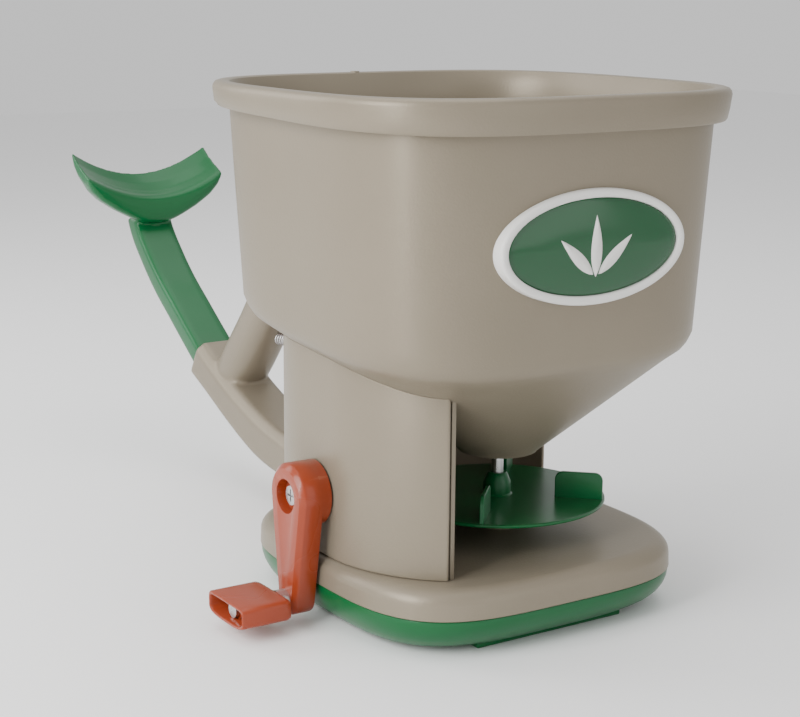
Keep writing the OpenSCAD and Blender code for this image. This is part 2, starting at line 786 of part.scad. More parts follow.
module trigger_spring() {
    steel() translate([pivot_x - 6.4, 0, pivot_z - 17]) rotate([0, -90 - 6, 0]) coil(5, 3, 0.45, 13.4);
}

module rate_dial() {
    color([0.62, 0.27, 0.17]) translate([dial_x, 0, dial_z]) rotate([-90, 0, 0]) {
        translate([0, 0, -grip_w / 2]) cylinder(h = grip_w + 1, r = 3);
        translate([0, 0, grip_w / 2 + 0.3]) cylinder(h = 6, r = dial_r);
        translate([-1.5, 0, grip_w / 2 + 6]) cube([3, dial_r - 1, 2]);
        translate([1, 0, -trigger_w / 2 + 1]) cylinder(h = trigger_w - 2, r = 4.4);
    }
}

module dial_screw() {
    steel() translate([dial_x, -grip_w / 2 - 2.2, dial_z]) rotate([-90, 0, 0])
        cylinder(h = 2.2, r = 5);
}

hopper();
housing();
base_pan();
gear_cover();
handle();
base_tray();
arm_rest();
badge_bezel();
badge_face();
handle_screws();
hopper_screws();
cover_screws();
base_screws();
stem_screw();
outlet_bush();
deck_bush();
thrust_bush();
crank_bush();
inner_bush();
cross_bushes();
disc();
spindle();
spindle_bevel();
agitator();
cross_shaft();
cross_pinion();
cross_bevel();
crank_shaft();
crank_gear();
crank_arm();
crank_screw();
knob();
knob_pin();
gate();
trigger();
trigger_pin();
trigger_spring();
rate_dial();
dial_screw();
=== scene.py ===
import bpy
import bmesh
import math
import numpy as np
from mathutils import Matrix, Vector
from mathutils.bvhtree import BVHTree


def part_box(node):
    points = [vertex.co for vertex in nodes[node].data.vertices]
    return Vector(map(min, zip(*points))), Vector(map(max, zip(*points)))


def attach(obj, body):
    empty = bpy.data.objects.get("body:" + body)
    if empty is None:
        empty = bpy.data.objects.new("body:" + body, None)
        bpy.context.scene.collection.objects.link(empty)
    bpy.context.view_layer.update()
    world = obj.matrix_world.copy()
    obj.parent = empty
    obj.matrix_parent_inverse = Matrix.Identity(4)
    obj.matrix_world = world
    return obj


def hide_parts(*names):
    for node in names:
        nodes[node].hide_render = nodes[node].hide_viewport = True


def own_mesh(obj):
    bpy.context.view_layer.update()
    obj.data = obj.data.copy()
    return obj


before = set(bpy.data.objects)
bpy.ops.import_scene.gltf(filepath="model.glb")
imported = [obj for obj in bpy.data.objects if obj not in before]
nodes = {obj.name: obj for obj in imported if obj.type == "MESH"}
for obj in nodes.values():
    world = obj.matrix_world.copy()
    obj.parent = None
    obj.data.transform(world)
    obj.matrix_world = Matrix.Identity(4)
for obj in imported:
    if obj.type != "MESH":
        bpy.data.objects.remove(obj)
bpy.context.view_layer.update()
MM = 0.001

# ---- Hopper ----
# The bin is one thin moulding in champagne-coloured plastic: a rolled rim band, four softly
# rounded walls and a funnel that leads to the outlet over the spinning disc.
rim_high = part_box("hopper")[1]
rim_z = rim_high[2] / MM - 0.5
rim_hx = 106.5
rim_hy = 108.0
band = 15.5
band_rise = 0.024
break_z = 139.0
break_slope = math.tan(math.radians(4.6))
outlet_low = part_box("outlet_bush")[0][2] / MM
spin_x = (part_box("spindle")[0][0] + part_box("spindle")[1][0]) / 2 / MM
spin_y = (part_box("spindle")[0][1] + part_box("spindle")[1][1]) / 2 / MM
shell_wall = 2.5
RING = 160


def squircle(hx, hy, n, z, cx=0.0, cy=0.0, slope=0.0, count=RING):
    """A rounded-square ring of points; n = 2 is an ellipse, larger n is squarer."""
    angle = 2 * math.pi * np.arange(count) / count
    reach = (np.abs(np.cos(angle) / hx) ** n + np.abs(np.sin(angle) / hy) ** n) ** (-1 / n)
    x = cx + reach * np.cos(angle)
    y = cy + reach * np.sin(angle)
    return np.stack([x, y, z - slope * x], axis=1)


def piece_from(name, points, faces):
    mesh = bpy.data.meshes.new(name)
    mesh.from_pydata((np.asarray(points, dtype=float) * MM).tolist(), [], faces)
    mesh.validate()
    piece = bpy.data.objects.new(name, mesh)
    bpy.context.collection.objects.link(piece)
    return piece


def loft(name, rings, closed=False, caps=True):
    """Skins rings of equal length in order; closed joins the last ring to the first."""
    count = len(rings[0])
    faces = []
    last = len(rings) if closed else len(rings) - 1
    for i in range(last):
        a = i * count
        b = ((i + 1) % len(rings)) * count
        for k in range(count):
            m = (k + 1) % count
            faces.append((a + k, a + m, b + m, b + k))
    if caps and not closed:
        faces.append(tuple(reversed(range(count))))
        faces.append(tuple(range((len(rings) - 1) * count, len(rings) * count)))
    piece = piece_from(name, np.concatenate(rings), faces)
    face_outwards(piece)
    return piece


def face_outwards(piece):
    work = bmesh.new()
    work.from_mesh(piece.data)
    bmesh.ops.remove_doubles(work, verts=work.verts, dist=1e-6)
    bmesh.ops.recalc_face_normals(work, faces=work.faces)
    if work.calc_volume(signed=True) < 0:
        bmesh.ops.reverse_faces(work, faces=work.faces)
    work.to_mesh(piece.data)
    work.free()


def apply_modifiers(piece):
    view = bpy.context.evaluated_depsgraph_get()
    mesh = bpy.data.meshes.new_from_object(piece.evaluated_get(view))
    old = piece.data
    piece.modifiers.clear()
    piece.data = mesh
    mesh.name = piece.name
    bpy.data.meshes.remove(old)


def ease_edges(piece, width, segments=2, degrees=30):
    """Rounds every edge sharper than the given angle; width is in millimetres."""
    ease = piece.modifiers.new("edge", "BEVEL")
    ease.width = width * MM
    ease.segments = segments
    ease.limit_method = "ANGLE"
    ease.angle_limit = math.radians(degrees)
    apply_modifiers(piece)


def smooth(piece, degrees=32):
    piece.data.shade_smooth()
    piece.data.set_sharp_from_angle(angle=math.radians(degrees))


def block(name, low, high):
    x0, y0, z0 = low
    x1, y1, z1 = high
    points = [(x, y, z) for x in (x0, x1) for y in (y0, y1) for z in (z0, z1)]
    faces = [(0, 1, 3, 2), (4, 6, 7, 5), (0, 4, 5, 1), (2, 3, 7, 6), (0, 2, 6, 4), (1, 5, 7, 3)]
    piece = piece_from(name, points, faces)
    face_outwards(piece)
    return piece


def rod(name, start, end, radius, sides=48):
    start = Vector(start)
    along = Vector(end) - start
    turn = along.to_track_quat("Z", "Y").to_matrix()
    rings = []
    for t in (0.0, 1.0):
        ring = [start + along * t + turn @ Vector((radius * math.cos(a), radius * math.sin(a), 0))
            for a in (2 * math.pi * k / sides for k in range(sides))]
        rings.append(np.array([tuple(p) for p in ring]))
    return loft(name, rings)


def cut(piece, *cutters, mode="DIFFERENCE"):
    for cutter in cutters:
        change = piece.modifiers.new("cut", "BOOLEAN")
        change.operation = mode
        change.object = cutter
        change.solver = "EXACT"
        apply_modifiers(piece)
        bpy.data.objects.remove(cutter)


def hopper_rings():
    wall_x = rim_hx - 9
    wall_y = rim_hy - 9.2
    foot_x = rim_hx - 14
    foot_y = rim_hy - 14.3
    low = rim_z - band
    neck = 19.6
    rings = [
        squircle(wall_x + 1.2, wall_y + 1.2, 3.35, rim_z - 1.6),
        squircle(wall_x + 1.7, wall_y + 1.7, 3.35, rim_z - 0.5),
        squircle(wall_x + 2.6, wall_y + 2.6, 3.35, rim_z),
        squircle(rim_hx - 2.6, rim_hy - 2.6, 3.3, rim_z),
        squircle(rim_hx - 1.2, rim_hy - 1.2, 3.3, rim_z - 0.5),
        squircle(rim_hx - 0.3, rim_hy - 0.3, 3.3, rim_z - 1.7),
        squircle(rim_hx, rim_hy, 3.3, rim_z - 3.2),
        squircle(rim_hx - 0.7, rim_hy - 0.7, 3.3, rim_z - 9.5),
        squircle(rim_hx - 1.5, rim_hy - 1.5, 3.3, low + 1.0 + band_rise * rim_hx, slope=band_rise),
        squircle(rim_hx - 2.1, rim_hy - 2.1, 3.3, low + band_rise * rim_hx, slope=band_rise),
        squircle(rim_hx - 3.2, rim_hy - 3.2, 3.3, low - 0.1 + band_rise * rim_hx, slope=band_rise),
        squircle(wall_x + 1.3, wall_y + 1.3, 3.6, low + 0.2 + band_rise * rim_hx, slope=band_rise),
        squircle(wall_x + 0.2, wall_y + 0.2, 3.65, low - 0.7 + band_rise * rim_hx, slope=band_rise),
        squircle(wall_x, wall_y, 3.7, low - 2.2 + band_rise * rim_hx, slope=band_rise),
    ]
    for t in (0.25, 0.5, 0.75, 0.9, 0.97):
        x = wall_x + (foot_x - wall_x) * t
        y = wall_y + (foot_y - wall_y) * t
        z = low + (break_z - low) * t
        rings.append(squircle(x, y, 3.7, z, slope=break_slope * t))
    for t, drop in ((0.0, 0.4), (0.012, 2.0), (0.04, 4.6)):
        rings.append(squircle(foot_x - 0.6 - 60 * t, foot_y - 0.6 - 60 * t, 3.6, break_z - drop,
            slope=break_slope))
    start = squircle(foot_x - 3.0, foot_y - 3.0, 3.5, break_z - 4.6, slope=break_slope)
    tip = squircle(neck, neck, 2, outlet_low + 0.8, spin_x, spin_y)
    for t in (0.08, 0.2, 0.35, 0.5, 0.65, 0.8, 0.92, 1.0):
        rings.append(start + (tip - start) * t)
    rings.append(squircle(neck - 0.3, neck - 0.3, 2, outlet_low + 0.2, spin_x, spin_y))
    rings.append(squircle(neck - 0.9, neck - 0.9, 2, outlet_low, spin_x, spin_y))
    rings.append(squircle(5.5, 5.5, 2, outlet_low, spin_x, spin_y))
    rings.append(squircle(5.5, 5.5, 2, outlet_low + 2.5, spin_x, spin_y))
    inner_tip = squircle(neck - 2.2, neck - 2.2, 2, outlet_low + 2.5, spin_x, spin_y)
    inner_foot = squircle(foot_x - 4.5, foot_y - 4.5, 3.5, break_z - 1.2, slope=break_slope)
    for t in (0.0, 0.1, 0.3, 0.5, 0.7, 0.9, 0.97):
        rings.append(inner_tip + (inner_foot - inner_tip) * t)
    for t in (0.98, 0.9, 0.7, 0.4, 0.0):
        x = wall_x + (foot_x - wall_x) * t - shell_wall
        y = wall_y + (foot_y - wall_y) * t - shell_wall
        rings.append(squircle(x, y, 3.65, low + (break_z - low) * t, slope=break_slope * t))
    rings.append(squircle(wall_x - 1.4, wall_y - 1.4, 3.4, rim_z - 8))
    rings.append(squircle(wall_x + 0.6, wall_y + 0.6, 3.35, rim_z - 3))
    return rings


hopper = loft("bin", hopper_rings(), closed=True)
funnel_tree = BVHTree.FromObject(hopper, bpy.context.evaluated_depsgraph_get())
cut(hopper,
    *[block("port", (spin_x - 5, spin_y + y, outlet_low - 2),
        (spin_x + 7, spin_y + y + 6.4, outlet_low + 4)) for y in (6, -12.4)],
    block("gate_slot", (spin_x - 40, spin_y - 14.35, outlet_low + 2.5),
        (spin_x - 6, spin_y + 14.35, outlet_low + 4.35)))
smooth(hopper, 34)
nub = rod("rim_nub", (-rim_hx + 4.5, 0, rim_z - 1), (-rim_hx + 4.5, 0, rim_high[2] / MM), 2.4)
ease_edges(nub, 0.3)
smooth(nub, 40)


# Moulded plastic: a fine spark-eroded grain, faint cloudiness in the colour, pale wear on edges
# and a little dust on faces that look up. The same three effects serve every plastic piece.
def effect_group(name, inputs, outputs):
    group = bpy.data.node_groups.new(name, "ShaderNodeTree")
    for label, kind, value in inputs:
        socket = group.interface.new_socket(label, in_out="INPUT", socket_type=kind)
        socket.default_value = value
    for label, kind in outputs:
        group.interface.new_socket(label, in_out="OUTPUT", socket_type=kind)
    return group, group.nodes.new("NodeGroupInput"), group.nodes.new("NodeGroupOutput")


def add_node(tree, kind, **settings):
    node = tree.nodes.new(kind)
    for key, value in settings.items():
        setattr(node, key, value)
    return node


def build_grain():
    """Height of a fine moulded grain, and a cloud mask for colour and roughness."""
    group, given, out = effect_group("moulded_grain",
        [("Grain size", "NodeSocketFloat", 900.0), ("Cloud size", "NodeSocketFloat", 18.0)],
        [("Height", "NodeSocketFloat"), ("Cloud", "NodeSocketFloat")])
    place = add_node(group, "ShaderNodeTexCoord")
    fine = add_node(group, "ShaderNodeTexNoise")
    fine.inputs["Detail"].default_value = 3.0
    pits = add_node(group, "ShaderNodeTexVoronoi", feature="SMOOTH_F1")
    cloud = add_node(group, "ShaderNodeTexNoise")
    cloud.inputs["Detail"].default_value = 2.0
    both = add_node(group, "ShaderNodeMath", operation="ADD")
    link = group.links.new
    link(place.outputs["Object"], fine.inputs["Vector"])
    link(place.outputs["Object"], pits.inputs["Vector"])
    link(place.outputs["Object"], cloud.inputs["Vector"])
    link(given.outputs["Grain size"], fine.inputs["Scale"])
    link(given.outputs["Grain size"], pits.inputs["Scale"])
    link(given.outputs["Cloud size"], cloud.inputs["Scale"])
    link(fine.outputs["Fac"], both.inputs[0])
    link(pits.outputs["Distance"], both.inputs[1])
    link(both.outputs[0], out.inputs["Height"])
    link(cloud.outputs["Fac"], out.inputs["Cloud"])
    return group


def mask_group(name, inputs, noise_scale, noise_detail, mask_source):
    """A mask from the surface's shape, broken up by noise and scaled by its Amount."""
    group, given, out = effect_group(name, inputs, [("Mask", "NodeSocketFloat")])
    shape = add_node(group, "ShaderNodeNewGeometry")
    range_node = add_node(group, "ShaderNodeMapRange")
    place = add_node(group, "ShaderNodeTexCoord")
    noise = add_node(group, "ShaderNodeTexNoise")
    noise.inputs["Scale"].default_value = noise_scale
    noise.inputs["Detail"].default_value = noise_detail
    broken = add_node(group, "ShaderNodeMath", operation="MULTIPLY")
    scaled = add_node(group, "ShaderNodeMath", operation="MULTIPLY")
    link = group.links.new
    mask_source(group, given, shape, range_node)
    link(place.outputs["Object"], noise.inputs["Vector"])
    link(range_node.outputs["Result"], broken.inputs[0])
    link(noise.outputs["Fac"], broken.inputs[1])
    link(broken.outputs[0], scaled.inputs[0])
    link(given.outputs["Amount"], scaled.inputs[1])
    link(scaled.outputs[0], out.inputs["Mask"])
    return group


def from_sharp_edges(group, given, shape, range_node):
    range_node.inputs["From Max"].default_value = 0.66
    group.links.new(shape.outputs["Pointiness"], range_node.inputs["Value"])
    group.links.new(given.outputs["Sharpness"], range_node.inputs["From Min"])


def from_upward_faces(group, given, shape, range_node):
    split = add_node(group, "ShaderNodeSeparateXYZ")
    range_node.inputs["From Min"].default_value = 0.55
    group.links.new(shape.outputs["Normal"], split.inputs[0])
    group.links.new(split.outputs["Z"], range_node.inputs["Value"])


grain_group = build_grain()
wear_group = mask_group("edge_wear", [("Sharpness", "NodeSocketFloat", 0.56),
    ("Amount", "NodeSocketFloat", 0.5)], 140.0, 4.0, from_sharp_edges)
dust_group = mask_group("settled_dust", [("Amount", "NodeSocketFloat", 0.15)], 55.0, 5.0,
    from_upward_faces)


def mix_colour(tree, mask, first, second):
    blend = add_node(tree, "ShaderNodeMix", data_type="RGBA")
    tree.links.new(mask, blend.inputs[0])
    for value, index in ((first, 6), (second, 7)):
        if isinstance(value, tuple):
            blend.inputs[index].default_value = (*value, 1)
        else:
            tree.links.new(value, blend.inputs[index])
    return blend.outputs[2]


def plastic(name, dark, light, worn, rough=(0.38, 0.5), grain=0.05, wear=0.35, dust=0.10,
        size=900.0, metal=0.0, coat=0.0):
    """A moulded plastic: two close shades, a worn-edge colour, and its roughness range."""
    finish = bpy.data.materials.new(name)
    finish.use_nodes = True
    tree = finish.node_tree
    shader = tree.nodes["Principled BSDF"]
    shader.inputs["Metallic"].default_value = metal
    shader.inputs["IOR"].default_value = 1.49
    shader.inputs["Specular IOR Level"].default_value = 0.32
    shader.inputs["Coat Weight"].default_value = coat
    shader.inputs["Coat Roughness"].default_value = 0.12
    surface = add_node(tree, "ShaderNodeGroup", node_tree=grain_group)
    surface.inputs["Grain size"].default_value = size
    edges = add_node(tree, "ShaderNodeGroup", node_tree=wear_group)
    edges.inputs["Amount"].default_value = wear
    film = add_node(tree, "ShaderNodeGroup", node_tree=dust_group)
    film.inputs["Amount"].default_value = dust
    base = mix_colour(tree, surface.outputs["Cloud"], dark, light)
    rubbed = mix_colour(tree, edges.outputs["Mask"], base, worn)
    dusty = mix_colour(tree, film.outputs["Mask"], rubbed, (0.55, 0.52, 0.45))
    gloss = add_node(tree, "ShaderNodeMapRange")
    gloss.inputs["To Min"].default_value = rough[0]
    gloss.inputs["To Max"].default_value = rough[1]
    bump = add_node(tree, "ShaderNodeBump")
    bump.inputs["Strength"].default_value = grain
    bump.inputs["Distance"].default_value = 0.0004
    link = tree.links.new
    link(surface.outputs["Cloud"], gloss.inputs["Value"])
    link(gloss.outputs["Result"], shader.inputs["Roughness"])
    link(surface.outputs["Height"], bump.inputs["Height"])
    link(bump.outputs["Normal"], shader.inputs["Normal"])
    link(dusty, shader.inputs["Base Color"])
    return finish


def wear_finish(piece, finish):
    piece.data.materials.clear()
    piece.data.materials.append(finish)


champagne = plastic("champagne_plastic", (0.215, 0.182, 0.132), (0.245, 0.210, 0.156),
    (0.40, 0.35, 0.28), rough=(0.34, 0.42), grain=0.12, metal=0.25, dust=0.05)
for piece in (nub, hopper):
    wear_finish(piece, champagne)
    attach(piece, "frame")
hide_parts("hopper")

# ---- Round housing ----
# A thin drum wall under the bin that runs round the back and the crank side and leaves the
# throwing mouth open. Its top edge is scribed to the funnel; lugs inside take the bin's screws.
drum_r = 83.0
drum_corner = 70.0
drum_wall = 2.5
deck_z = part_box("housing")[0][2] / MM
mouth_from = math.radians(-38.7)
mouth_to = math.radians(114.2 - 360)


def drum_point(angle, inset=0.0):
    """The drum's plan is a square with very large round corners: its point at an angle."""
    c = math.cos(angle)
    s = math.sin(angle)
    flat = drum_r - drum_corner
    r = drum_corner - inset
    across = flat * (abs(c) + abs(s))
    reach = across + math.sqrt(across**2 - 2 * flat**2 + r**2)
    if abs(s) * reach < flat:
        reach = (drum_r - inset) / abs(c)
    elif abs(c) * reach < flat:
        reach = (drum_r - inset) / abs(s)
    return reach * c, reach * s


def up_to_funnel(x, y):
    hit = funnel_tree.ray_cast(Vector((x, y, deck_z)) * MM, Vector((0, 0, 1)))[0]
    return hit.z / MM + 0.25


def drum_wall_piece():
    steps = 190
    rings = []
    for i in range(steps + 1):
        angle = mouth_from + (mouth_to - mouth_from) * i / steps
        outer = drum_point(angle)
        inner = drum_point(angle, drum_wall)
        rings.append(np.array([
            (*outer, deck_z), (*outer, up_to_funnel(*outer)),
            (*inner, up_to_funnel(*inner)), (*inner, deck_z)]))
    return loft("drum_wall", rings)


housing = drum_wall_piece()
ease_edges(housing, 0.9, 4, 45)
rod_low, rod_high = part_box("gate")
cut(housing, block("rod_slot", (-drum_r - 3, spin_y - 5, rod_low[2] / MM - 1),
    (-drum_r + 6, spin_y + 5, rod_high[2] / MM + 1)))
smooth(housing, 40)
wear_finish(housing, champagne)
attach(housing, "frame")


def drum_fittings():
    """The screw lugs and the crank's bearing boss on the inside of the drum."""
    parts = []
    for degrees in (140, 200, 250):
        reach = math.hypot(*drum_point(math.radians(degrees), drum_wall))
        lug = block("lug", (drum_r - 16.5, -6, 104), (reach + 0.8, 6, 108))
        lug.data.transform(Matrix.Rotation(math.radians(degrees), 4, "Z"))
        parts.append(lug)
    crank_z = (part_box("crank_shaft")[0][2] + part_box("crank_shaft")[1][2]) / 2 / MM
    parts.append(rod("boss", (0, -82.2, crank_z), (0, -70, crank_z), 9.0))
    flat = drum_r - drum_corner
    for x in (-48, 48):
        wall_y = -flat - math.sqrt((drum_corner - drum_wall) ** 2 - (abs(x) - flat) ** 2)
        for z in (46, 84):
            parts.append(rod("post", (x, wall_y - 0.5, z), (x, -53, z), 4))
    return parts


def join(name, parts):
    points = []
    faces = []
    for part in parts:
        offset = len(points)
        points += [tuple(v.co / MM) for v in part.data.vertices]
        faces += [tuple(offset + k for k in f.vertices) for f in part.data.polygons]
        bpy.data.objects.remove(part)
    return piece_from(name, points, faces)


fittings = join("drum_fittings", drum_fittings())
ease_edges(fittings, 0.5)
smooth(fittings, 40)
wear_finish(fittings, champagne)
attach(fittings, "frame")
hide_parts("housing")

# ---- Base pan ----
# The champagne pan carries the drum: a boxy plate with a rounded shoulder and a raised boss
# round the disc's spindle. It is open below, where the green tray closes it.
pan_hx = 89.0
pan_hy = 86.6
seam_z = 19.0
pan_rings = [squircle(pan_hx - 0.5, pan_hy - 0.5, 3.7, seam_z),
    squircle(pan_hx, pan_hy, 3.7, seam_z + 0.5)]
for degrees in range(0, 91, 10):
    bend = math.radians(degrees)
    inset = 7.5 * (1 - math.cos(bend))
    height = deck_z - 7 + 7 * math.sin(bend)
    pan_rings.append(squircle(pan_hx - inset, pan_hy - inset, 3.65, height))
pan_rings += [
    squircle(pan_hx - 22, pan_hy - 22, 3.4, deck_z),
    squircle(12, 12, 2, deck_z, spin_x, spin_y),
    squircle(9.2, 9.2, 2, deck_z + 0.5, spin_x, spin_y),
    squircle(8.2, 8.2, 2, deck_z + 1.8, spin_x, spin_y),
    squircle(8.0, 8.0, 2, deck_z + 4.4, spin_x, spin_y),
    squircle(7.4, 7.4, 2, deck_z + 5.0, spin_x, spin_y),
    squircle(5.0, 5.0, 2, deck_z + 5.0, spin_x, spin_y),
    squircle(5.0, 5.0, 2, deck_z - 2.5, spin_x, spin_y),
    squircle(pan_hx - 14, pan_hy - 14, 3.5, deck_z - 2.5),
    squircle(pan_hx - 4.5, pan_hy - 4.5, 3.6, deck_z - 6),
    squircle(pan_hx - 2.5, pan_hy - 2.5, 3.65, deck_z - 9),
    squircle(pan_hx - 2.5, pan_hy - 2.5, 3.65, seam_z),
]
base_pan = loft("base_pan_shell", pan_rings, closed=True)
cut(base_pan, block("gear_slot", (-32, -67, 22), (32, -58, 36)))
smooth(base_pan, 34)
wear_finish(base_pan, champagne)
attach(base_pan, "frame")
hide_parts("base_pan")

# ---- Green tray ----
# The tray closes the base from below and is what the spreader stands on: a shallow dish with
# curved flanks, two foot bars and a middle pad, held by four screws.
green = plastic("green_plastic", (0.0, 0.082, 0.020), (0.0, 0.105, 0.028), (0.0, 0.19, 0.07),
    rough=(0.26, 0.36), grain=0.04, wear=0.3, dust=0.03, coat=0.1)
tray_low = 2.7
flank = [(0.0, 0.9), (0.3, 0.35), (1.2, 0.1), (4.0, 0.5), (7.0, 1.7), (10.0, 3.8), (12.5, 6.4),
    (14.3, 9.0), (15.5, 11.0), (16.3, 13.4)]
tray_rings = []
for drop, inset in flank:
    tray_rings.append(
        squircle(pan_hx - 0.3 - inset, pan_hy - 0.3 - inset * 0.62, 3.7, seam_z - drop))
tray_rings.append(squircle(40, 40, 3, tray_low))
tray_rings.append(squircle(6, 6, 2, tray_low, spin_x, spin_y))
tray_rings.append(squircle(5, 5, 2, tray_low + 2.2, spin_x, spin_y))
for drop, inset in reversed(flank[2:]):
    tray_rings.append(squircle(pan_hx - 2.6 - inset, pan_hy - 2.6 - inset * 0.62, 3.65,
        max(seam_z - drop, tray_low + 2.2 + inset * 0.01)))
tray_rings.append(squircle(pan_hx - 2.4, pan_hy - 2.4, 3.65, seam_z))
tray = loft("tray_shell", tray_rings, closed=True)
feet = [block("foot", (x, -42, 0), (x + 8, 42, tray_low + 1)) for x in (-74, 66)]
feet.append(rod("pad", (0, 0, 0), (0, 0, tray_low + 1), 9))
feet = join("tray_feet", feet)
ease_edges(feet, 1.0, 3)
for piece in (tray, feet):
    smooth(piece, 34)
    wear_finish(piece, green)
    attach(piece, "frame")
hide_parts("base_tray")

# ---- Handle ----
# One stout moulding behind the drum: a bridge, the slanted grip, and the arched bracket whose
# upper end is the socket for the arm rest. Every joint between them flows in a wide fillet.


def sweep(name, stations, n=3.0, count=40):
    """A bar along points in the XZ plane: (x, z, half depth, half width) at each station."""
    centre = np.array([(s[0], s[1]) for s in stations], dtype=float)
    along = np.gradient(centre, axis=0)
    along /= np.linalg.norm(along, axis=1)[:, None]
    rings = []
    for point, way, station in zip(centre, along, stations):
        flat = squircle(station[2], station[3], n, 0, count=count)
        across = np.array([-way[1], way[0]])
        rings.append(np.stack([point[0] + flat[:, 0] * across[0], flat[:, 1],
            point[1] + flat[:, 0] * across[1]], axis=1))
    return loft(name, rings)


def curve_through(points, count):
    """Evenly spaced stations on a smooth curve through the given ones."""
    points = np.array(points, dtype=float)
    steps = np.linalg.norm(np.diff(points[:, :2], axis=0), axis=1)
    at = np.concatenate([[0], np.cumsum(steps)])
    slope = np.gradient(points, at, axis=0)
    out = []
    for s in np.linspace(0, at[-1], count):
        i = min(np.searchsorted(at, s, side="right") - 1, len(at) - 2)
        h = at[i + 1] - at[i]
        t = (s - at[i]) / h
        out.append((2 * t**3 - 3 * t**2 + 1) * points[i] + (t**3 - 2 * t**2 + t) * h * slope[i]
            + (-2 * t**3 + 3 * t**2) * points[i + 1] + (t**3 - t**2) * h * slope[i + 1])
    return out


def fuse(name, parts, voxel, rounds):
    """Melts overlapping bars into one skin and softens the creases between them."""
    piece = join(name, parts)
    melt = piece.modifiers.new("melt", "REMESH")
    melt.mode = "VOXEL"
    melt.voxel_size = voxel * MM
    ease = piece.modifiers.new("ease", "SMOOTH")
    ease.factor = 0.6
    ease.iterations = rounds
    apply_modifiers(piece)
    return piece


stem_line = [(-361, 145, 7, 13), (-357.5, 138.5, 7, 13), (-341, 120.5, 7, 13), (-323, 105.3, 7, 13),
    (-304, 92.4, 7, 13), (-288, 81.6, 7, 13), (-270, 69.6, 7, 13), (-254, 57.6, 7, 13)]

grip = sweep("grip", curve_through([(-176, 128, 11, 13), (-188, 117, 13.4, 14),
    (-205, 97, 14.2, 14.2), (-224, 75, 14.4, 14.4), (-243, 54, 13, 14)], 24), n=2.5)
bridge = sweep("bridge", curve_through([(-79, 122, 11, 14), (-125, 121, 11, 14),
    (-160, 120.4, 11.8, 14), (-190, 116.4, 12.8, 14)], 18), n=3.2)
ridge = [(-79, 38.5), (-152, 38.6), (-187, 45), (-213, 53.6), (-240, 65), (-261, 75.5)]
keel = [(-79, 20.5), (-150, 19.3), (-185, 24), (-220, 36.5), (-250, 50), (-270.5, 58.8)]


def bracket_piece(side, top_side, crown):
    """The bracket's side profile, extruded, with a crowned top between two straight ridges."""
    upper = np.array([p[:2] for p in curve_through([(*p, 0, 0) for p in ridge], 40)])
    lower = np.array([p[:2] for p in curve_through([(*p, 0, 0) for p in keel], 40)])
    rings = []
    for up, down in zip(upper, lower):
        way = (up - down) / np.linalg.norm(up - down)
        crest = up + way * crown
        corner = down + way * 2.2
        section = [(-side + 2.5, down), (-side, corner), (-side, up), (-top_side, crest),
            (top_side, crest), (side, up), (side, corner), (side - 2.5, down)]
        rings.append(np.array([(p[0], y, p[1]) for y, p in section]))
    return loft("bracket", rings)


bracket = bracket_piece(17.0, 12.5, 5.0)
handle = fuse("handle_shell", [grip, bridge, bracket], 1.15, 10)
pin_low, pin_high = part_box("trigger_pin")
pivot_x = (pin_low[0] + pin_high[0]) / 2 / MM
pivot_z = (pin_low[2] + pin_high[2]) / 2 / MM
cut(handle,
    block("trigger_slot", (pivot_x - 12, -6.6, pivot_z - 14), (pivot_x + 22, 6.6, pivot_z + 14.5)),
    sweep("stem_hole", [(x, z, t + 0.1, w + 0.1) for x, z, t, w in curve_through(stem_line, 40)],
        n=9),
    loft("drum", [np.array([(*drum_point(2 * math.pi * k / 256, -0.05), z) for k in range(256)])
        for z in (deck_z, 240)]),
    loft("pan", [squircle(pan_hx + 0.1, pan_hy + 0.1, 3.68, z) for z in (-5, deck_z + 0.2)]))
smooth(handle, 50)
wear_finish(handle, champagne)
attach(handle, "frame")
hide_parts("handle")

# ---- Arm rest ----
# A green moulding pushed into the handle's socket: a flat stem that flares like a fan into a
# shallow saddle for the forearm, with the saddle's front edge rolled down into the fan.
saddle_half = 47.0
saddle_rear = -375.5
saddle_front = -344.0


def saddle_section(y):
    """The trough's section across the forearm: thin raised rear edge, rolled front edge, belly."""
    v = abs(y) / saddle_half
    rear = 171.5 + 15.7 * v**2
    front = 159.0 + 14.6 * v**2
    belly = float(np.interp(abs(y), [0, 8, 14, 20, 29, 38, 44, 46.3, 47],
        [141.5, 142.0, 144.0, 146.8, 151.6, 157.6, 163.4, 167.6, 169.4]))
    rear_low = rear - 2.6 - 2.0 * (1 - v)
    x0 = saddle_rear + 1.5 * v**6
    x1 = saddle_front - 2.0 * v**8
    ring = [(x0, rear - 0.4), (x0 + 1.0, rear),
        (x0 + 9, rear - (rear - front) * 0.42 - 0.8 * (1 - v)),
        (x0 + 18, rear - (rear - front) * 0.76 - 1.1 * (1 - v)), (x1 - 5, front + 0.9),
        (x1 - 2.2, front - 0.2),
        (x1 - 0.6, front - 2.0), (x1, min(front - 3.6, belly + 8)), (x1 - 0.4, belly + 2.6),
        (x1 - 2.4, belly + 0.6), (x1 - 6, belly), (x0 + 18, belly + 0.6),
        (x0 + 9, belly + (rear_low - belly) * 0.30), (x0 + 3.5, belly + (rear_low - belly) * 0.62),
        (x0 + 0.4, rear_low)]
    return np.array([(x, y, z) for x, z in ring])


spots = [-47, -46.6, -45.5, -44, -41, -38, -33, -28, -23, -18, -13, -8, -4, 0]
spots += [-y for y in reversed(spots[:-1])]
saddle = loft("saddle", [saddle_section(y) for y in spots])
stem = sweep("stem", curve_through(stem_line, 50), n=9)
arm_rest = fuse("arm_rest_shell", [saddle, stem], 0.85, 7)
smooth(arm_rest, 60)
wear_finish(arm_rest, green)
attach(arm_rest, "frame")
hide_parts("arm_rest")

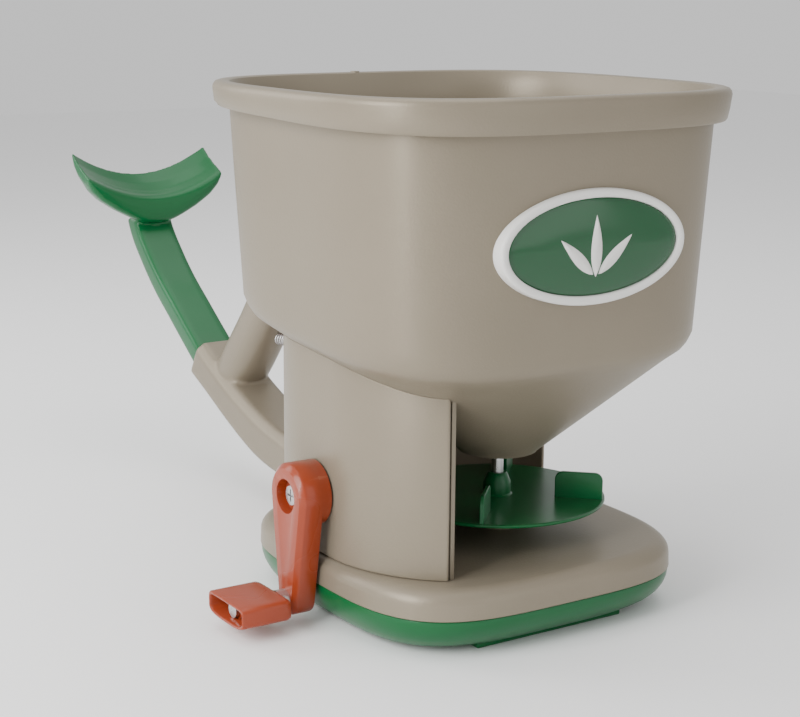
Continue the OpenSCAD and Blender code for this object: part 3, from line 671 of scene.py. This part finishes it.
# ---- Badge ----
# An oval badge on the front wall: a pale raised bezel with a rounded lip, a domed green field
# and a plain sprig of three leaves in relief.
badge_low, badge_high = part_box("badge_bezel")
badge_x = badge_low[0] / MM
badge_z = (badge_low[2] + badge_high[2]) / 2 / MM
badge_hy = (badge_high[1] - badge_low[1]) / 2 / MM
badge_hz = (badge_high[2] - badge_low[2]) / 2 / MM


def oval(inset, out, count=128):
    angle = 2 * math.pi * np.arange(count) / count
    y = (badge_hy - inset) * np.cos(angle)
    z = (badge_hz - inset) * np.sin(angle)
    return np.stack([np.full(count, badge_x + out), y, badge_z + z], axis=1)


def oval_on_wall(inset, count=128):
    """The same oval sunk 1.2 mm into the bin's curved front wall, so nothing shows inside."""
    ring = oval(inset, 0, count)
    for point in ring:
        t = (rim_z - band - point[2]) / (rim_z - band - break_z)
        half_x = rim_hx - 9 - 5.0 * t
        half_y = rim_hy - 9.2 - 5.1 * t
        point[0] = half_x * (1 - abs(point[1] / half_y) ** 3.7) ** (1 / 3.7) - 1.2
    return ring


bezel = loft("badge_bezel_ring", [oval_on_wall(0), oval(0, 1.2), oval(0.35, 2.0), oval(1.1, 2.5),
    oval(2.0, 2.6),
    oval(3.3, 2.5), oval(3.9, 2.1), oval(4.1, 1.4), oval(4.1, 0.4), oval_on_wall(4.6)], closed=True)
smooth(bezel, 50)
cream = plastic("bezel_plastic", (0.70, 0.69, 0.66), (0.78, 0.77, 0.74), (0.9, 0.9, 0.88),
    rough=(0.25, 0.35), grain=0.02, wear=0.1, dust=0.03, coat=0.2)
wear_finish(bezel, cream)
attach(bezel, "frame")
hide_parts("badge_bezel")

dome_rings = [oval_on_wall(inset) for inset in (badge_hz - 0.5, 20, 14, 9, 4.3)] + [oval(4.15, 0.6)]
for step in range(1, 13):
    t = step / 12
    dome_rings.append(oval(4.15 + (badge_hz - 4.15) * (1 - math.cos(t * math.pi / 2)) * 0.985,
        0.6 + 1.9 * math.sin(t * math.pi / 2)))
dome = loft("badge_dome", dome_rings)
smooth(dome, 40)
badge_green = plastic("badge_green", (0.0, 0.058, 0.014), (0.0, 0.078, 0.020), (0.01, 0.18, 0.07),
    rough=(0.10, 0.16), grain=0.008, wear=0.0, dust=0.02, coat=0.6)
wear_finish(dome, badge_green)
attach(dome, "frame")
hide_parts("badge_face")


def leaf(y, z, length, width, degrees):
    """A pointed leaf lying on the badge's dome, with a creased middle."""
    rings = []
    turn = math.radians(degrees)
    for i in range(17):
        t = i / 16
        half = width * math.sin(math.pi * t**0.8) * 0.5 + 0.05
        ring = []
        for v, h in ((-1, 0), (-0.6, 0.5), (0, 0.85), (0.6, 0.5), (1, 0), (0, -2.0)):
            a = t * length
            b = v * half
            py = y + a * math.cos(turn) - b * math.sin(turn)
            pz = z + a * math.sin(turn) + b * math.cos(turn)
            reach = min(1.0, math.hypot(py / (badge_hy - 4), pz / (badge_hz - 4)))
            top = 0.6 + 1.9 * math.sqrt(max(0.0, 1 - reach**2.4))
            ring.append((badge_x + top + h * min(1, half) - 0.1, py, badge_z + pz))
        rings.append(np.array(ring))
    return loft("leaf", rings)


sprig = join("badge_sprig", [leaf(0, -13, 27, 6.5, 90), leaf(1.5, -12, 25, 6, 42),
    leaf(-1.5, -12, 25, 6, 138)])
smooth(sprig, 30)
wear_finish(sprig, cream)
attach(sprig, "frame")

# ---- Crank ----
# A deep terracotta lever on the crank shaft: a round hub with a sunk screw, and a tapering arm
# with a wide chamfer round its front face.
terracotta = plastic("terracotta_plastic", (0.250, 0.034, 0.010), (0.290, 0.042, 0.013),
    (0.58, 0.20, 0.11), rough=(0.22, 0.32), grain=0.03, wear=0.35, dust=0.02, coat=0.2)
arm_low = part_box("crank_arm")[0]
crank_low, crank_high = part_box("crank_shaft")
crank_z = (crank_low[2] + crank_high[2]) / 2 / MM
crank_front = arm_low[1] / MM
hub_r = 15.5
tip_r = 8.0
tip_x = -1.0
tip_z = (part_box("knob_pin")[0][2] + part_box("knob_pin")[1][2]) / 2 / MM


def lever_outline(inset, count=96):
    """Two circles and their common tangents, as a ring about the lever's middle."""
    gap = math.hypot(tip_x, tip_z - crank_z)
    along = math.atan2(tip_z - crank_z, tip_x)
    swing = math.acos((hub_r - tip_r) / gap)
    ring = []
    half = count // 2
    for k in range(half):
        a = along + swing + (2 * math.pi - 2 * swing) * k / (half - 1)
        ring.append(((hub_r - inset) * math.cos(a), crank_z + (hub_r - inset) * math.sin(a)))
    for k in range(half):
        a = along - swing + 2 * swing * k / (half - 1)
        ring.append((tip_x + (tip_r - inset) * math.cos(a), tip_z + (tip_r - inset) * math.sin(a)))
    return ring


def lever_ring(inset, y):
    return np.array([(x, crank_front + y, z) for x, z in lever_outline(inset)])


lever = loft("crank_lever", [lever_ring(2.9, 0), lever_ring(2.5, 0.05), lever_ring(0.35, 1.9),
    lever_ring(0, 2.6), lever_ring(0, 11.0), lever_ring(0.3, 11.7), lever_ring(1.0, 12.0)])
hub_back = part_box("crank_arm")[1][1] / MM
hub = rod("hub", (0, crank_front + 6, crank_z), (0, hub_back, crank_z), hub_r - 0.05, sides=96)
cut(lever, hub, mode="UNION")
cut(lever,
    rod("sink", (0, crank_front - 2, crank_z), (0, crank_front + 5, crank_z), 8.2, sides=96),
    rod("step", (0, crank_front + 4, crank_z), (0, crank_front + 9, crank_z), 2.3),
    rod("bore", (0, crank_front + 8, crank_z), (0, hub_back + 2, crank_z), 4.0))
ease_edges(lever, 0.45, 3, 50)
smooth(lever, 30)
wear_finish(lever, terracotta)
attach(lever, "crank")
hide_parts("crank_arm")

# ---- Knob ----
# A hollow finger paddle that turns on the crank's pin: flat on top, bellied below, open at its
# outer end, with a bearing tube inside.
knob_low, knob_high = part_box("knob")
knob_y0 = knob_high[1] / MM
knob_y1 = knob_low[1] / MM
knob_hx = (knob_high[0] - knob_low[0]) / 2 / MM
knob_top = knob_high[2] / MM
knob_bottom = knob_low[2] / MM


def paddle_ring(inset, y, count=96):
    """The paddle's section: flat top with small corners, upright sides, an arched belly."""
    hx = knob_hx - inset
    top = knob_top - inset
    bottom = knob_bottom + inset
    side = bottom + (top - bottom) * 0.42
    ring = []
    for k in range(count):
        a = 2 * math.pi * k / count
        c = math.cos(a)
        s = math.sin(a)
        if s >= 0:
            reach = (abs(c) ** 9 + abs(s) ** 9) ** (-1 / 9)
            ring.append((tip_x + hx * c * reach, y, side + (top - side) * s * reach))
        else:
            reach = (abs(c) ** 3.2 + abs(s) ** 3.2) ** (-1 / 3.2)
            ring.append((tip_x + hx * c * reach, y, side + (side - bottom) * s * reach))
    return np.array(ring)


knob = loft("knob_shell", [paddle_ring(1.6, knob_y0 - 0.1), paddle_ring(0.5, knob_y0 - 0.6),
    paddle_ring(0.1, knob_y0 - 1.6), paddle_ring(0, knob_y0 - 3), paddle_ring(0, knob_y1 + 0.8),
    paddle_ring(0.3, knob_y1 + 0.2), paddle_ring(0.8, knob_y1), paddle_ring(1.4, knob_y1 + 0.2),
    paddle_ring(1.8, knob_y1 + 0.9), paddle_ring(1.9, knob_y0 - 5), paddle_ring(2.6, knob_y0 - 3)])
tube = rod("tube", (tip_x, knob_y0 - 2.5, tip_z), (tip_x, knob_y1 + 6, tip_z), 5.0)
cut(knob, tube, mode="UNION")
cut(knob, rod("bore", (tip_x, knob_y0 + 2, tip_z), (tip_x, knob_y1 + 3, tip_z), 3.06))
smooth(knob, 34)
wear_finish(knob, terracotta)
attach(knob, "knob")
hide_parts("knob")

# ---- Turned and moulded small parts ----
# Parts whose frame shape is already the real one keep it: the chamber's cover, trigger, dial, gate
# and agitator as copies with edges broken by a small radius, the gears, bushes and shafts as they
# are.
acetal = plastic("natural_acetal", (0.60, 0.57, 0.49), (0.68, 0.65, 0.57), (0.8, 0.78, 0.72),
    rough=(0.28, 0.4), grain=0.02, wear=0.15, dust=0.06)


def zinc():
    """Bright zinc plating: faint brushing, mottled roughness and grey rubs."""
    finish = bpy.data.materials.new("zinc_steel")
    finish.use_nodes = True
    tree = finish.node_tree
    shader = tree.nodes["Principled BSDF"]
    shader.inputs["Metallic"].default_value = 1.0
    surface = add_node(tree, "ShaderNodeGroup", node_tree=grain_group)
    surface.inputs["Grain size"].default_value = 1400.0
    surface.inputs["Cloud size"].default_value = 240.0
    colour = mix_colour(tree, surface.outputs["Cloud"], (0.50, 0.50, 0.49), (0.68, 0.68, 0.69))
    gloss = add_node(tree, "ShaderNodeMapRange")
    gloss.inputs["To Min"].default_value = 0.2
    gloss.inputs["To Max"].default_value = 0.42
    bump = add_node(tree, "ShaderNodeBump")
    bump.inputs["Strength"].default_value = 0.04
    bump.inputs["Distance"].default_value = 0.0002
    tree.links.new(colour, shader.inputs["Base Color"])
    tree.links.new(surface.outputs["Cloud"], gloss.inputs["Value"])
    tree.links.new(gloss.outputs["Result"], shader.inputs["Roughness"])
    tree.links.new(surface.outputs["Height"], bump.inputs["Height"])
    tree.links.new(bump.outputs["Normal"], shader.inputs["Normal"])
    return finish


steel = zinc()


def eased_copy(name, body, finish, width=0.35):
    """A copy of a frame node with its edges eased, in place of the node."""
    work = bmesh.new()
    work.from_mesh(nodes[name].data)
    bmesh.ops.remove_doubles(work, verts=work.verts, dist=2e-6)
    bmesh.ops.dissolve_limit(work, angle_limit=math.radians(1), verts=work.verts, edges=work.edges)
    mesh = bpy.data.meshes.new(name + "_eased")
    work.to_mesh(mesh)
    work.free()
    piece = bpy.data.objects.new(name + "_eased", mesh)
    bpy.context.collection.objects.link(piece)
    ease_edges(piece, width, 2, 40)
    smooth(piece, 35)
    wear_finish(piece, finish)
    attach(piece, body)
    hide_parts(name)
    return piece


eased_copy("gear_cover", "frame", champagne, 0.4)
eased_copy("trigger", "trigger", terracotta, 0.9)
eased_copy("rate_dial", "dial", terracotta, 0.5)
eased_copy("gate", "gate", acetal, 0.3)
eased_copy("agitator", "spinner", acetal, 0.3)
for name, body in (("crank_gear", "crank"), ("cross_pinion", "cross"), ("cross_bevel", "cross"),
        ("spindle_bevel", "spinner"), ("outlet_bush", "frame"), ("deck_bush", "frame"),
        ("thrust_bush", "frame"), ("crank_bush", "frame"), ("inner_bush", "frame"),
        ("cross_bushes", "frame")):
    wear_finish(nodes[name], acetal)
for name in ("spindle", "cross_shaft", "crank_shaft", "knob_pin", "trigger_pin", "dial_screw"):
    wear_finish(nodes[name], steel)

# ---- Spreading disc ----
# A green moulded disc on the spindle, turned true with a beaded rim and a coned hub, and thin
# upright fins that fling the granules outwards.
disc_low, disc_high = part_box("disc")
plate_z = 50.0
plate_r = (disc_high[0] - disc_low[0]) / 2 / MM
disc_foot = disc_low[2] / MM
disc_rings = [squircle(r, r, 2, z, spin_x, spin_y, count=192) for r, z in (
    (3.02, disc_foot), (6.3, disc_foot), (6.8, disc_foot + 0.5), (6.8, plate_z - 2.2),
    (7.4, plate_z - 1.8), (plate_r - 1.4, plate_z - 1.8), (plate_r - 0.3, plate_z - 1.5),
    (plate_r, plate_z - 0.9), (plate_r - 0.1, plate_z - 0.3), (plate_r - 0.7, plate_z),
    (plate_r - 1.6, plate_z), (7.6, plate_z), (6.8, plate_z + 0.8), (6.8, plate_z + 6),
    (4.9, plate_z + 10.5), (4.4, plate_z + 11), (3.02, plate_z + 11))]
plate = loft("disc_plate", disc_rings, closed=True)
smooth(plate, 34)
wear_finish(plate, green)
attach(plate, "spinner")
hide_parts("disc")


def fin():
    """One fin along +X: an upright plate with round upper corners."""
    inner = plate_r * 0.54
    outer = plate_r * 0.98
    top = (disc_high[2] / MM) - plate_z
    outline = [(inner, -0.3), (outer, -0.3)]
    for cx, first in ((outer - 4, 0), (inner + 4, 90)):
        for k in range(10):
            turn = math.radians(first + k * 10)
            outline.append((cx + 4 * math.cos(turn), top - 4 + 4 * math.sin(turn)))
    rings = []
    for y, inset in ((-1.0, 0.35), (-0.7, 0.0), (0.7, 0.0), (1.0, 0.35)):
        middle = ((inner + outer) / 2, top / 2)
        rings.append(np.array([(middle[0] + (x - middle[0]) * (1 - inset / 12), y,
            middle[1] + (z - middle[1]) * (1 - inset / 7)) for x, z in outline]))
    return loft("disc_fins", rings)


def new_tree(name, inputs):
    tree = bpy.data.node_groups.new(name, "GeometryNodeTree")
    tree.interface.new_socket("Geometry", in_out="INPUT", socket_type="NodeSocketGeometry")
    keys = {}
    for label, kind, value in inputs:
        socket = tree.interface.new_socket(label, in_out="INPUT", socket_type=kind)
        if value is not None:
            socket.default_value = value
        keys[label] = socket.identifier
    tree.interface.new_socket("Geometry", in_out="OUTPUT", socket_type="NodeSocketGeometry")
    return tree, keys, tree.nodes.new("NodeGroupInput"), tree.nodes.new("NodeGroupOutput")


def finish_tree(tree, given, out, shape):
    """Ends a tree in real geometry with its material set."""
    real = tree.nodes.new("GeometryNodeRealizeInstances")
    coat = tree.nodes.new("GeometryNodeSetMaterial")
    tree.links.new(shape, real.inputs[0])
    tree.links.new(real.outputs[0], coat.inputs["Geometry"])
    tree.links.new(given.outputs["Material"], coat.inputs["Material"])
    tree.links.new(coat.outputs[0], out.inputs[0])


def grow(piece, tree, keys, **values):
    grower = piece.modifiers.new(tree.name, "NODES")
    grower.node_group = tree
    for label, value in values.items():
        grower[keys[label.replace("_", " ")]] = value
    apply_modifiers(piece)


def fin_tree():
    tree, keys, given, out = new_tree("fins_round_a_hub", [("Count", "NodeSocketInt", 4),
        ("Start angle", "NodeSocketFloat", 0.0), ("Material", "NodeSocketMaterial", None)])
    spots = add_node(tree, "GeometryNodeMeshLine")
    spots.inputs["Offset"].default_value = (0, 0, 0)
    index = add_node(tree, "GeometryNodeInputIndex")
    step = add_node(tree, "ShaderNodeMath", operation="DIVIDE")
    step.inputs[0].default_value = 2 * math.pi
    turn = add_node(tree, "ShaderNodeMath", operation="MULTIPLY_ADD")
    spin = add_node(tree, "ShaderNodeCombineXYZ")
    place = add_node(tree, "GeometryNodeInstanceOnPoints")
    link = tree.links.new
    link(given.outputs["Count"], spots.inputs["Count"])
    link(given.outputs["Count"], step.inputs[1])
    link(index.outputs[0], turn.inputs[0])
    link(step.outputs[0], turn.inputs[1])
    link(given.outputs["Start angle"], turn.inputs[2])
    link(turn.outputs[0], spin.inputs["Z"])
    link(spots.outputs["Mesh"], place.inputs["Points"])
    link(given.outputs["Geometry"], place.inputs["Instance"])
    link(spin.outputs[0], place.inputs["Rotation"])
    finish_tree(tree, given, out, place.outputs[0])
    return tree, keys


fins = fin()
fins_tree, fins_keys = fin_tree()
grow(fins, fins_tree, fins_keys, Count=4, Start_angle=math.radians(46), Material=green)
fins.data.transform(Matrix.Translation(Vector((spin_x, spin_y, plate_z)) * MM))
smooth(fins, 34)
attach(fins, "spinner")

# ---- Screws ----
# Zinc-plated pan-head screws with a cross recess and a coarse thread for plastic: they hold
# the bin, the handle, the chamber cover, the tray and the arm rest's stem.
head_height = 0.0022


def screw_tree():
    tree, keys, given, out = new_tree("pan_head_screws", [
        ("Head radius", "NodeSocketFloat", 0.0035),
        ("Head height", "NodeSocketFloat", head_height), ("Shank radius", "NodeSocketFloat", 0.0014),
        ("Shank length", "NodeSocketFloat", 0.010), ("Pitch", "NodeSocketFloat", 0.0013),
        ("Material", "NodeSocketMaterial", None)])
    link = tree.links.new

    def maths(kind, a, b):
        node = add_node(tree, "ShaderNodeMath", operation=kind)
        for k, value in enumerate((a, b)):
            if isinstance(value, (int, float)):
                node.inputs[k].default_value = value
            else:
                link(value, node.inputs[k])
        return node.outputs[0]

    def moved(shape, x=0.0, y=0.0, z=0.0):
        node = add_node(tree, "GeometryNodeTransform")
        at = add_node(tree, "ShaderNodeCombineXYZ")
        for k, value in enumerate((x, y, z)):
            if isinstance(value, (int, float)):
                at.inputs[k].default_value = value
            else:
                link(value, at.inputs[k])
        link(shape, node.inputs["Geometry"])
        link(at.outputs[0], node.inputs["Translation"])
        return node.outputs[0]

    head = add_node(tree, "GeometryNodeMeshCone")
    head.inputs["Vertices"].default_value = 36
    head.inputs["Side Segments"].default_value = 3
    link(given.outputs["Head radius"], head.inputs["Radius Bottom"])
    link(maths("MULTIPLY", given.outputs["Head radius"], 0.78), head.inputs["Radius Top"])
    link(given.outputs["Head height"], head.inputs["Depth"])
    turned = add_node(tree, "GeometryNodeTransform")
    turned.inputs["Rotation"].default_value = (math.pi, 0, 0)
    link(head.outputs["Mesh"], turned.inputs["Geometry"])
    seated = moved(turned.outputs[0], z=given.outputs["Head height"])
    recess = add_node(tree, "GeometryNodeMeshBoolean", operation="DIFFERENCE")
    link(seated, recess.inputs[0])
    for size in ((1.05, 0.24, 1.3), (0.24, 1.05, 1.3)):
        slot = add_node(tree, "GeometryNodeMeshCube")
        wide = add_node(tree, "ShaderNodeCombineXYZ")
        for k in range(2):
            link(maths("MULTIPLY", given.outputs["Head radius"], size[k]), wide.inputs[k])
        link(maths("MULTIPLY", given.outputs["Head height"], size[2]), wide.inputs[2])
        link(wide.outputs[0], slot.inputs["Size"])
        link(slot.outputs["Mesh"], recess.inputs[1])
    shank = add_node(tree, "GeometryNodeMeshCylinder")
    shank.inputs["Vertices"].default_value = 20
    link(given.outputs["Shank radius"], shank.inputs["Radius"])
    link(given.outputs["Shank length"], shank.inputs["Depth"])
    half = maths("MULTIPLY", given.outputs["Shank length"], 0.5)
    shank_at = moved(shank.outputs["Mesh"],
        z=maths("ADD", half, maths("MULTIPLY", given.outputs["Head height"], 0.95)))
    thread = add_node(tree, "GeometryNodeCurveSpiral")
    thread.inputs["Resolution"].default_value = 18
    run = maths("MULTIPLY", given.outputs["Shank length"], 0.84)
    link(maths("DIVIDE", run, given.outputs["Pitch"]), thread.inputs["Rotations"])
    link(given.outputs["Shank radius"], thread.inputs["Start Radius"])
    link(given.outputs["Shank radius"], thread.inputs["End Radius"])
    link(run, thread.inputs["Height"])
    ridge = add_node(tree, "GeometryNodeCurvePrimitiveCircle")
    ridge.inputs["Resolution"].default_value = 4
    ridge.inputs["Radius"].default_value = 0.00028
    wound = add_node(tree, "GeometryNodeCurveToMesh")
    wound.inputs["Fill Caps"].default_value = True
    link(thread.outputs[0], wound.inputs["Curve"])
    link(ridge.outputs[0], wound.inputs["Profile Curve"])
    thread_at = moved(wound.outputs[0], z=maths("ADD", given.outputs["Head height"],
        maths("MULTIPLY", given.outputs["Shank length"], 0.12)))
    whole = add_node(tree, "GeometryNodeJoinGeometry")
    for shape in (recess.outputs["Mesh"], shank_at, thread_at):
        link(shape, whole.inputs[0])
    aim = add_node(tree, "GeometryNodeInputNamedAttribute", data_type="FLOAT_VECTOR")
    aim.inputs["Name"].default_value = "aim"
    facing = add_node(tree, "FunctionNodeAlignRotationToVector", axis="Z")
    place = add_node(tree, "GeometryNodeInstanceOnPoints")
    link(aim.outputs["Attribute"], facing.inputs["Vector"])
    link(given.outputs["Geometry"], place.inputs["Points"])
    link(whole.outputs[0], place.inputs["Instance"])
    link(facing.outputs[0], place.inputs["Rotation"])
    finish_tree(tree, given, out, place.outputs[0])
    return tree, keys


def screw_places(name):
    """Each screw of a frame node: its head's outer middle, its direction and its length."""
    work = bmesh.new()
    work.from_mesh(nodes[name].data)
    bmesh.ops.remove_doubles(work, verts=work.verts, dist=2e-6)
    seen = set()
    found = []
    for first in work.verts:
        if first in seen:
            continue
        seen.add(first)
        island = [first]
        for vert in island:
            for edge in vert.link_edges:
                other = edge.other_vert(vert)
                if other not in seen:
                    seen.add(other)
                    island.append(other)
        points = np.array([tuple(v.co) for v in island])
        low_high = (points.min(0) + points.max(0)) / 2
        spread = np.linalg.svd(points - points.mean(0), full_matrices=False)[2][0]
        at = (points - low_high) @ spread
        off = np.linalg.norm((points - low_high) - np.outer(at, spread), axis=1)
        if off[at > at.max() - 1e-4].max() > off[at < at.min() + 1e-4].max():
            spread = -spread
            at = -at
        head = points[at < at.min() + 1e-4].mean(0)
        found.append((head, spread, at.max() - at.min()))
    work.free()
    return found


def shank_size(place):
    """The shank's length to the nearest 2 mm, which sorts the screws into sizes."""
    return round((place[2] - head_height) * 500) / 500


screws_tree, screws_keys = screw_tree()
for name in ("handle_screws", "hopper_screws", "cover_screws", "base_screws", "stem_screw"):
    places = screw_places(name)
    lengths = sorted({shank_size(place) for place in places})
    for length in lengths:
        alike = [place for place in places if shank_size(place) == length]
        mesh = bpy.data.meshes.new(name + "_turned")
        mesh.from_pydata([tuple(map(float, place[0])) for place in alike], [], [])
        aim = mesh.attributes.new("aim", "FLOAT_VECTOR", "POINT")
        aim.data.foreach_set("vector",
            np.concatenate([place[1] for place in alike]).astype(np.float32))
        piece = bpy.data.objects.new(name + "_turned", mesh)
        bpy.context.collection.objects.link(piece)
        grow(piece, screws_tree, screws_keys, Material=steel,
            Shank_length=min(place[2] for place in alike) - head_height)
        smooth(piece, 30)
        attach(piece, "frame")
    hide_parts(name)

# ---- Trigger spring ----
# A light compression spring of music wire between the trigger's lever and the grip; it shuts
# the gate again when the finger lets go.
wire_r = 0.45


def coil_tree():
    tree, keys, given, out = new_tree("wound_spring", [("Turns", "NodeSocketFloat", 5.0),
        ("Coil radius", "NodeSocketFloat", 0.003), ("Wire radius", "NodeSocketFloat", 0.00045),
        ("Length", "NodeSocketFloat", 0.014), ("Material", "NodeSocketMaterial", None)])
    wind = add_node(tree, "GeometryNodeCurveSpiral")
    wind.inputs["Resolution"].default_value = 40
    wire = add_node(tree, "GeometryNodeCurvePrimitiveCircle")
    wire.inputs["Resolution"].default_value = 12
    drawn = add_node(tree, "GeometryNodeCurveToMesh")
    drawn.inputs["Fill Caps"].default_value = True
    link = tree.links.new
    link(given.outputs["Turns"], wind.inputs["Rotations"])
    link(given.outputs["Coil radius"], wind.inputs["Start Radius"])
    link(given.outputs["Coil radius"], wind.inputs["End Radius"])
    link(given.outputs["Length"], wind.inputs["Height"])
    link(given.outputs["Wire radius"], wire.inputs["Radius"])
    link(wind.outputs[0], drawn.inputs["Curve"])
    link(wire.outputs[0], drawn.inputs["Profile Curve"])
    finish_tree(tree, given, out, drawn.outputs[0])
    return tree, keys


spring = piece_from("trigger_spring_wound", [(0, 0, 0)], [])
coils_tree, coils_keys = coil_tree()
lean = math.radians(-96)
spring_start = Vector((pivot_x - 6.4, 0, pivot_z - 17)) * MM
grow(spring, coils_tree, coils_keys, Turns=5.0, Coil_radius=0.003, Wire_radius=wire_r * MM,
    Length=0.0131, Material=steel)
spring.data.transform(Matrix.Translation(spring_start) @ Matrix.Rotation(lean, 4, "Y")
    @ Matrix.Translation((0, 0, wire_r * MM)))
smooth(spring, 60)
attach(spring, "frame")
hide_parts("trigger_spring")
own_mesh(spring)
wear_finish(nodes["crank_screw"], steel)

# ---- Floor, light and camera ----
# A seamless pale floor, one broad light from the left front, a softer one from the right and a
# low bright strip that draws the upright highlight on the bin.
floor = piece_from("floor", [(-3000, -3000, 0), (3000, -3000, 0), (3000, 3000, 0),
    (-3000, 3000, 0)], [(0, 1, 2, 3)])
paper = bpy.data.materials.new("studio_paper")
paper.use_nodes = True
paper.node_tree.nodes["Principled BSDF"].inputs["Base Color"].default_value = (0.93, 0.93, 0.93, 1)
paper.node_tree.nodes["Principled BSDF"].inputs["Roughness"].default_value = 0.9
wear_finish(floor, paper)

look_at = Vector((-0.06, 0.0, 0.12))


def soft_light(name, place, size, power):
    lamp = bpy.data.lights.new(name, "AREA")
    lamp.shape = "RECTANGLE"
    lamp.size = size[0]
    lamp.size_y = size[1]
    lamp.energy = power
    holder = bpy.data.objects.new(name, lamp)
    holder.location = place
    holder.rotation_euler = (look_at - Vector(place)).to_track_quat("-Z", "Y").to_euler()
    bpy.context.collection.objects.link(holder)


soft_light("key", (0.10, -1.25, 0.80), (0.8, 0.9), 19)
soft_light("strip", (0.30, -0.80, 0.30), (0.10, 0.6), 2.2)
soft_light("rim", (-0.9, -0.7, 0.6), (0.5, 0.8), 5)
soft_light("fill", (1.3, 0.5, 0.5), (0.9, 0.9), 2.2)
soft_light("top", (-0.2, 0.1, 1.4), (1.2, 1.2), 8)
world = bpy.data.worlds.new("studio")
world.use_nodes = True
world.node_tree.nodes["Background"].inputs["Color"].default_value = (1, 1, 1, 1)
world.node_tree.nodes["Background"].inputs["Strength"].default_value = 0.8
bpy.context.scene.world = world

lens = bpy.data.cameras.new("camera")
lens.sensor_width = 36
lens.lens = 77.84
camera = bpy.data.objects.new("camera", lens)
forward = Vector((-0.819, 0.532, -0.214)).normalized()
camera.location = (0.6745, -0.4752, 0.2971)
aim = forward.to_track_quat("-Z", "Y").to_matrix().to_4x4()
roll = Matrix.Rotation(math.radians(0.4), 4, "Z")
camera.matrix_world = Matrix.Translation(camera.location) @ aim @ roll
bpy.context.collection.objects.link(camera)
bpy.context.scene.camera = camera
